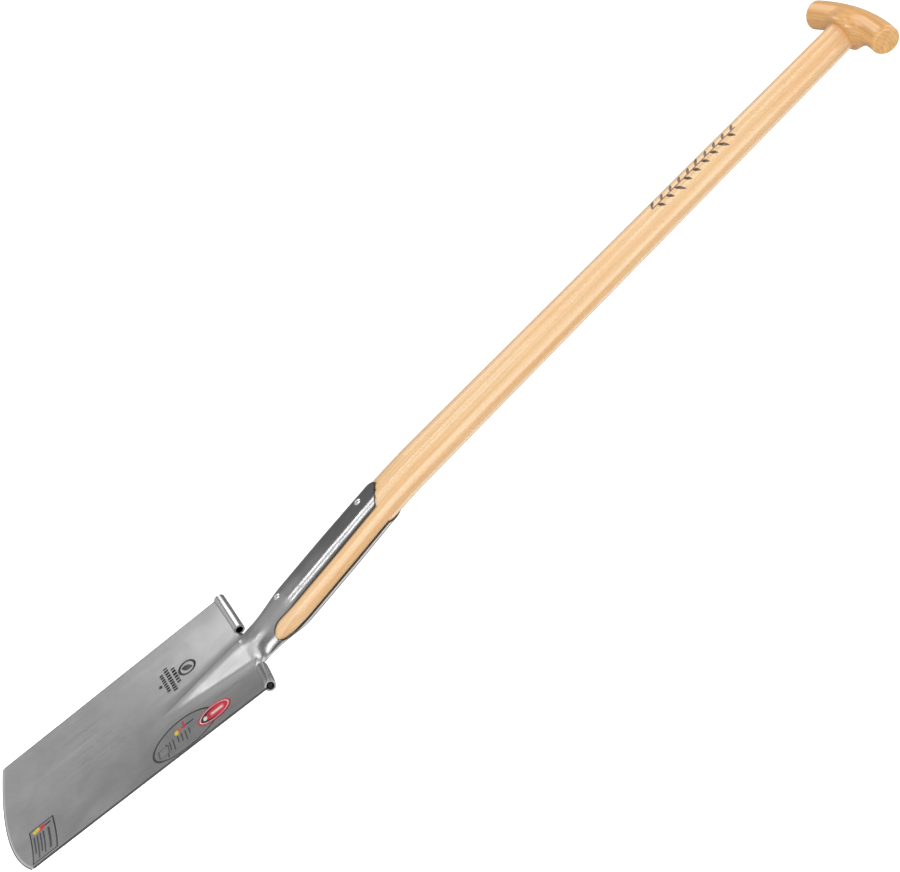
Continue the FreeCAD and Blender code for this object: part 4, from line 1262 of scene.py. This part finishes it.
@dataclass
class Grip:
    """The T-grip: arched arms that flow into a boss around the shaft's top."""

    wardrobe: Wardrobe
    rise: float = 0.0156
    half_length: float = 0.0616
    droop: float = 0.0076
    arm: float = 0.0151
    end_round: float = 0.0034
    boss: float = 0.0220
    boss_depth: float = 0.0029
    cone_foot: float = 0.001
    cone_top: float = 0.0085
    fillet: float = 0.014
    foot_round: float = 0.002
    farthest: float = 0.034
    turn: float = 2.5
    tip_down: float = 2.1
    rows: int = 270
    sides: int = 120

    @property
    def bend(self) -> float:
        """Return the radius of the arms' arc, from its half length and its droop."""
        return (self.half_length ** 2 + self.droop ** 2) / (2 * self.droop)

    def turned(self, points: Array) -> Array:
        """Lower the right arm a little, then turn the whole grip about the shaft."""
        lowered = Matrix.Rotation(math.radians(self.tip_down), 3, "Y")
        return points @ np.array(Matrix.Rotation(math.radians(self.turn), 3, "Z") @ lowered).T

    def blended_distance(self, points: Array) -> Array:
        """Return the distance to the arms and boss, with a fillet where they meet.

        The arms are a ring of round section about a far axis. The boss is an upright round post
        with a flat foot, that narrows upwards inside the arms. Where both are near, the two are
        joined by min(a, b) - (max(k - |a - b|, 0))^2 / 4k.
        """
        x, y, z = points[..., 0], points[..., 1], points[..., 2] - self.rise
        arms = np.hypot(np.hypot(x, z + self.bend) - self.bend, y) - self.arm
        level = np.maximum(points[..., 2] - self.cone_foot, 0)
        slope = (self.boss - self.cone_top) / (self.rise - self.cone_foot)
        post = np.maximum((np.hypot(x, y) - self.boss + slope * level) / math.hypot(1, slope), z)
        foot = -(points[..., 2] + self.boss_depth)
        post, foot = post + self.foot_round, foot + self.foot_round
        corner = np.hypot(np.maximum(post, 0), np.maximum(foot, 0))
        post = corner + np.minimum(np.maximum(post, foot), 0) - self.foot_round
        near = np.maximum(self.fillet - np.abs(arms - post), 0)
        return np.minimum(arms, post) - near ** 2 / (4 * self.fillet)

    def build(self) -> bpy.types.Object:
        """Find the surface along rays from the arms' centre line, halving the interval each time."""
        bend = self.bend
        limit = math.atan2(self.half_length, bend - self.droop)
        spot = np.linspace(-1, 1, self.rows)
        swing = (limit * (0.5 * spot + 0.5 * np.sin(0.5 * np.pi * spot)))[:, None]
        angle = circle(self.sides)
        centre = stack(bend * np.sin(swing), np.zeros_like(swing), self.rise - bend + bend * np.cos(swing))
        outward = stack(np.sin(swing) * np.cos(angle), np.sin(angle), np.cos(swing) * np.cos(angle))
        low = np.zeros((self.rows, self.sides))
        high = np.full_like(low, self.farthest)
        for _ in range(28):
            middle = (low + high) / 2
            within = self.blended_distance(centre + middle[..., None] * outward) < 0
            low, high = np.where(within, middle, low), np.where(within, high, middle)
        inset = np.clip(self.end_round - bend * (limit - np.abs(swing)), 0, None)
        reach = low - self.end_round + np.sqrt(np.clip(self.end_round ** 2 - inset ** 2, 0, None))
        rings = [centre + reach[..., None] * outward]
        for share in (0.8, 0.55, 0.3, 0.1):
            rings.insert(0, centre[:1] + reach[:1, :, None] * share * outward[:1])
            rings.append(centre[-1:] + reach[-1:, :, None] * share * outward[-1:])
        points = np.concatenate(rings)
        x, y, z = points[..., 0], points[..., 1], points[..., 2] - self.rise + bend
        straight = np.stack([bend * np.arctan2(x, z), y, np.hypot(x, z) - bend], -1)
        piece = make_piece("t_grip_turned", [Lattice(close_ends(self.turned(points)), wrap=True,
                                              grain=close_ends(straight))])
        self.wardrobe.put_on(piece, Finish.GRIP, "t_grip")
        return piece


@dataclass
class Rivets:
    """Two rivets through both straps and the shaft, with dimpled round heads."""

    wardrobe: Wardrobe
    head: float = 0.0044
    height: float = 0.0018
    shank: float = 0.0025
    dimple: float = 0.0009
    sunk: float = 0.0003
    softness: float = 0.00015
    sides: int = 48
    places: tuple[tuple[str, float], ...] = (("upper_rivet", 0.1946), ("lower_rivet", 0.0667))

    def profile(self, reach: float) -> Array:
        """Return half a rivet's outline: distance from its axis, and place along it.

        The head is a low dome, height * (1 - (r / head)^2.6), with a round dimple in its middle.
        """
        radius = np.linspace(0, 1, 26)
        dome = self.height * (1 - radius ** 2.6)
        dimple = self.dimple * bell(radius / 0.42)
        crown = np.stack([radius * self.head, reach + dome - dimple], -1)
        under = np.array([[self.head, reach - 2 * self.sunk], [self.shank, reach - 2 * self.sunk]])
        half = np.concatenate([crown, under])
        return np.concatenate([half, half[::-1] * np.array([1, -1])])

    def build(self) -> list[bpy.types.Object]:
        """Turn each rivet about its own axis, square to the shaft."""
        pieces = []
        angle = circle(self.sides)
        for name, along in self.places:
            out, deep = self.profile(float(FORM.socket_radius(along)) - self.sunk).T[..., None]
            points = stack(out * np.cos(angle), deep, along + out * np.sin(angle))
            turned = Lattice(FORM.from_socket(points), wrap=True, chart=points[..., [0, 2]])
            piece = make_piece(name, [turned])
            soften(piece, self.softness)
            self.wardrobe.put_on(piece, Finish.RIVET, name + "_pin")
            pieces.append(piece)
        return pieces


FILM = 0.00012  # a sticker's thickness, in metres
FILM_STEP = 0.00016  # how much higher each film lies than the one under it


@dataclass(frozen=True)
class Sticker:
    """One thin printed film on the blade's front.

    Attributes:
        node: the CAD node that it stands for.
        finish: its print.
        middle: where its middle is on the blade, across and down, in metres.
        half: its half width and half height.
        power: 2 for an oval; a higher number squares it off.
        layer: how many films lie under it.
    """

    node: str
    finish: Finish
    middle: tuple[float, float]
    half: tuple[float, float]
    power: float = 2.0
    layer: int = 0

    def build(self, wardrobe: Wardrobe) -> bpy.types.Object:
        """Build rings out to the outline |x/a|^n + |y/b|^n = 1, laid on the blade's surface."""
        ring = np.linspace(0, 1, 26)[:, None]
        cos, sin = np.cos(circle(160)), np.sin(circle(160))
        reach = (np.abs(cos) ** self.power + np.abs(sin) ** self.power) ** (-1 / self.power)
        across = self.half[0] * ring * reach * cos
        up = self.half[1] * ring * reach * sin
        side, height = self.middle[0] + across, self.middle[1] + up
        lift = FORM.sheet / 2 + FILM + FILM_STEP * self.layer
        step = 1e-5
        slope = (FORM.blade_y(side + step, height) - FORM.blade_y(side - step, height)) / (2 * step)
        size = np.sqrt(1 + slope ** 2)
        points = stack(side + lift * slope / size, FORM.blade_y(side, height) - lift / size, height)
        chart = np.stack([across, up], -1)
        piece = make_piece(self.node + "_film", [Lattice(FORM.from_blade(points), wrap=True, chart=chart)],
                           closed=False)
        thicken(piece, FILM)
        wardrobe.put_on(piece, self.finish, self.node)
        return piece


STICKERS = (
    Sticker("oval_label", Finish.OVAL, (0.0565, -0.0945), (0.0335, 0.0395)),
    Sticker("badge_label", Finish.BADGE, (0.0565, -0.058), (0.0165, 0.020), layer=1),
    Sticker("corner_label", Finish.CORNER, (0.050, -0.266), (0.0325, 0.015), power=60.0),
)


# ---- studio ------------------------------------------------------------------------------------

@dataclass
class Studio:
    """Pale floor, soft lights and the camera."""

    lens: float = 63.9
    camera_place: tuple[float, float, float] = (1.3823, -0.8903, -0.6027)
    azimuth: float = 57.06
    elevation: float = 0.70
    roll: float = 44.77
    floor_drop: float = 0.35
    floor_reach: float = 60.0
    floor_glow: float = 1.1
    dimness: float = 0.27
    spade_middle: float = -0.6

    def camera(self) -> None:
        """Place the camera: it looks along its azimuth and elevation, then rolls."""
        data = bpy.data.cameras.new("camera")
        data.lens = self.lens
        data.sensor_width = 36.0
        data.clip_end = 200.0
        camera = bpy.data.objects.new("camera", data)
        bpy.context.scene.collection.objects.link(camera)
        turn = (Matrix.Rotation(math.radians(self.azimuth), 4, "Z")
                @ Matrix.Rotation(math.radians(90 + self.elevation), 4, "X")
                @ Matrix.Rotation(math.radians(self.roll), 4, "Z"))
        camera.matrix_world = Matrix.Translation(self.camera_place) @ turn
        bpy.context.scene.camera = camera

    def glow(self, tree: bpy.types.NodeTree, shader: Socket, seen: float) -> Socket:
        """Add plain white light to a surface or the surroundings, for the camera alone."""
        path = tree.nodes.new("ShaderNodeLightPath")
        strength = tree.nodes.new("ShaderNodeMath")
        strength.operation = "MULTIPLY"
        strength.inputs[1].default_value = seen
        tree.links.new(path.outputs["Is Camera Ray"], strength.inputs[0])
        kind = "Background" if shader.node.type == "BACKGROUND" else "Emission"
        white = tree.nodes.new("ShaderNode" + kind)
        white.inputs["Color"].default_value = (1.0, 1.0, 1.0, 1.0)
        tree.links.new(strength.outputs[0], white.inputs["Strength"])
        both = tree.nodes.new("ShaderNodeAddShader")
        tree.links.new(shader, both.inputs[0])
        tree.links.new(white.outputs[0], both.inputs[1])
        return both.outputs[0]

    def floor(self, low: float) -> None:
        """Lay a wide pale floor below the spade, brought up to the surroundings' white."""
        turn = circle(128)[0]
        reach, level = self.floor_reach, low - self.floor_drop
        ring = stack(reach * np.cos(turn), reach * np.sin(turn), level)
        mesh = bpy.data.meshes.new("floor")
        mesh.from_pydata(ring, [], [list(range(len(ring)))])
        floor = bpy.data.objects.new("floor", mesh)
        bpy.context.scene.collection.objects.link(floor)
        graph = Graph("pale_floor")
        mesh.materials.append(graph.wear(Base_Color=(0.8, 0.8, 0.8), Roughness=0.9))
        glowing = self.glow(graph.tree, graph.shader.outputs[0], self.floor_glow)
        graph.feed(graph.tree.nodes["Material Output"].inputs["Surface"], glowing)
        floor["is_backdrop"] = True

    def surroundings(self) -> None:
        """Set dim, even surroundings that are plain white where the camera sees them."""
        world = bpy.data.worlds.new("surroundings")
        world.use_nodes = True
        tree = world.node_tree
        dim = tree.nodes["Background"]
        dim.inputs["Color"].default_value = (1.0, 1.0, 1.0, 1.0)
        dim.inputs["Strength"].default_value = self.dimness
        tree.links.new(self.glow(tree, dim.outputs[0], 1.0), tree.nodes["World Output"].inputs["Surface"])
        bpy.context.scene.world = world

    def soft_box(self, name: str, bearing: float, height: float, size: tuple[float, float],
                 brightness: float, away: float = 2.6) -> None:
        """Hang one soft box that faces the spade's middle.

        Args:
            name: the light's name.
            bearing: where it stands, in degrees round from the front towards the right.
            height: its middle, above the spade's middle.
            size: its width and height.
            brightness: its surface's brightness; white paper under the surroundings alone is 1.
            away: its distance.
        """
        data = bpy.data.lights.new(name, "AREA")
        data.shape = "RECTANGLE"
        data.size, data.size_y = size
        data.energy = brightness * math.pi * size[0] * size[1]
        lamp = bpy.data.objects.new(name, data)
        lamp.visible_camera = False
        bpy.context.scene.collection.objects.link(lamp)
        turn = math.radians(bearing)
        middle = Vector((0, 0, self.spade_middle))
        place = middle + Vector((away * math.sin(turn), -away * math.cos(turn), height))
        facing = (middle - place).to_track_quat("-Z", "Y").to_matrix().to_4x4()
        lamp.matrix_world = Matrix.Translation(place) @ facing

    def build(self, low: float) -> None:
        """Set up the floor, the pale surroundings, the soft boxes and the camera."""
        bpy.context.scene.view_settings.view_transform = "Standard"
        self.floor(low)
        self.surroundings()
        self.soft_box("front_right", 24, 0.25, (1.5, 3.2), 0.85)
        self.soft_box("near_strip", 13, 0.25, (0.13, 3.0), 6.5, away=2.5)
        self.soft_box("far_strip", 31, 0.25, (0.10, 3.0), 5.5, away=2.5)
        self.soft_box("front_left", -38, 0.9, (1.7, 2.2), 1.8)
        self.soft_box("right", 104, 0.2, (1.4, 3.0), 2.6)
        self.soft_box("back", 190, 0.4, (1.4, 2.4), 1.2)
        self.soft_box("top", 0, 2.6, (2.4, 2.4), 1.6, away=0.3)
        self.camera()


def dress_grip_pin(nodes: dict[str, bpy.types.Object], wardrobe: Wardrobe) -> None:
    """Give the CAD pin its steel."""
    pin = nodes["grip_pin"]
    pin.data.materials.clear()
    pin.data.materials.append(wardrobe.get(Finish.PIN))
    log.info("grip_pin: dressed")


def main() -> None:
    """Build every piece around the frame, then the studio, and work out both sizes."""
    logging.basicConfig(level=logging.INFO, format="%(name)s %(message)s")
    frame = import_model()
    cad_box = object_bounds()
    wardrobe = Wardrobe()
    blade = Blade(wardrobe)
    strap = BackStrap(wardrobe)
    blade.build()
    strap.build()
    Welds(wardrobe, blade, strap).build()
    Treads(wardrobe).build()
    Shaft(wardrobe).build()
    Grip(wardrobe).build()
    Rivets(wardrobe).build()
    for sticker in STICKERS:
        sticker.build(wardrobe)
    dress_grip_pin(frame["nodes"], wardrobe)
    Studio().build(cad_box[0][2])
    sizes = {name: [[float(number) for number in corner] for corner in box]
             for name, box in (("cad", cad_box), ("visual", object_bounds()))}


if __name__ == "__main__":
    main()
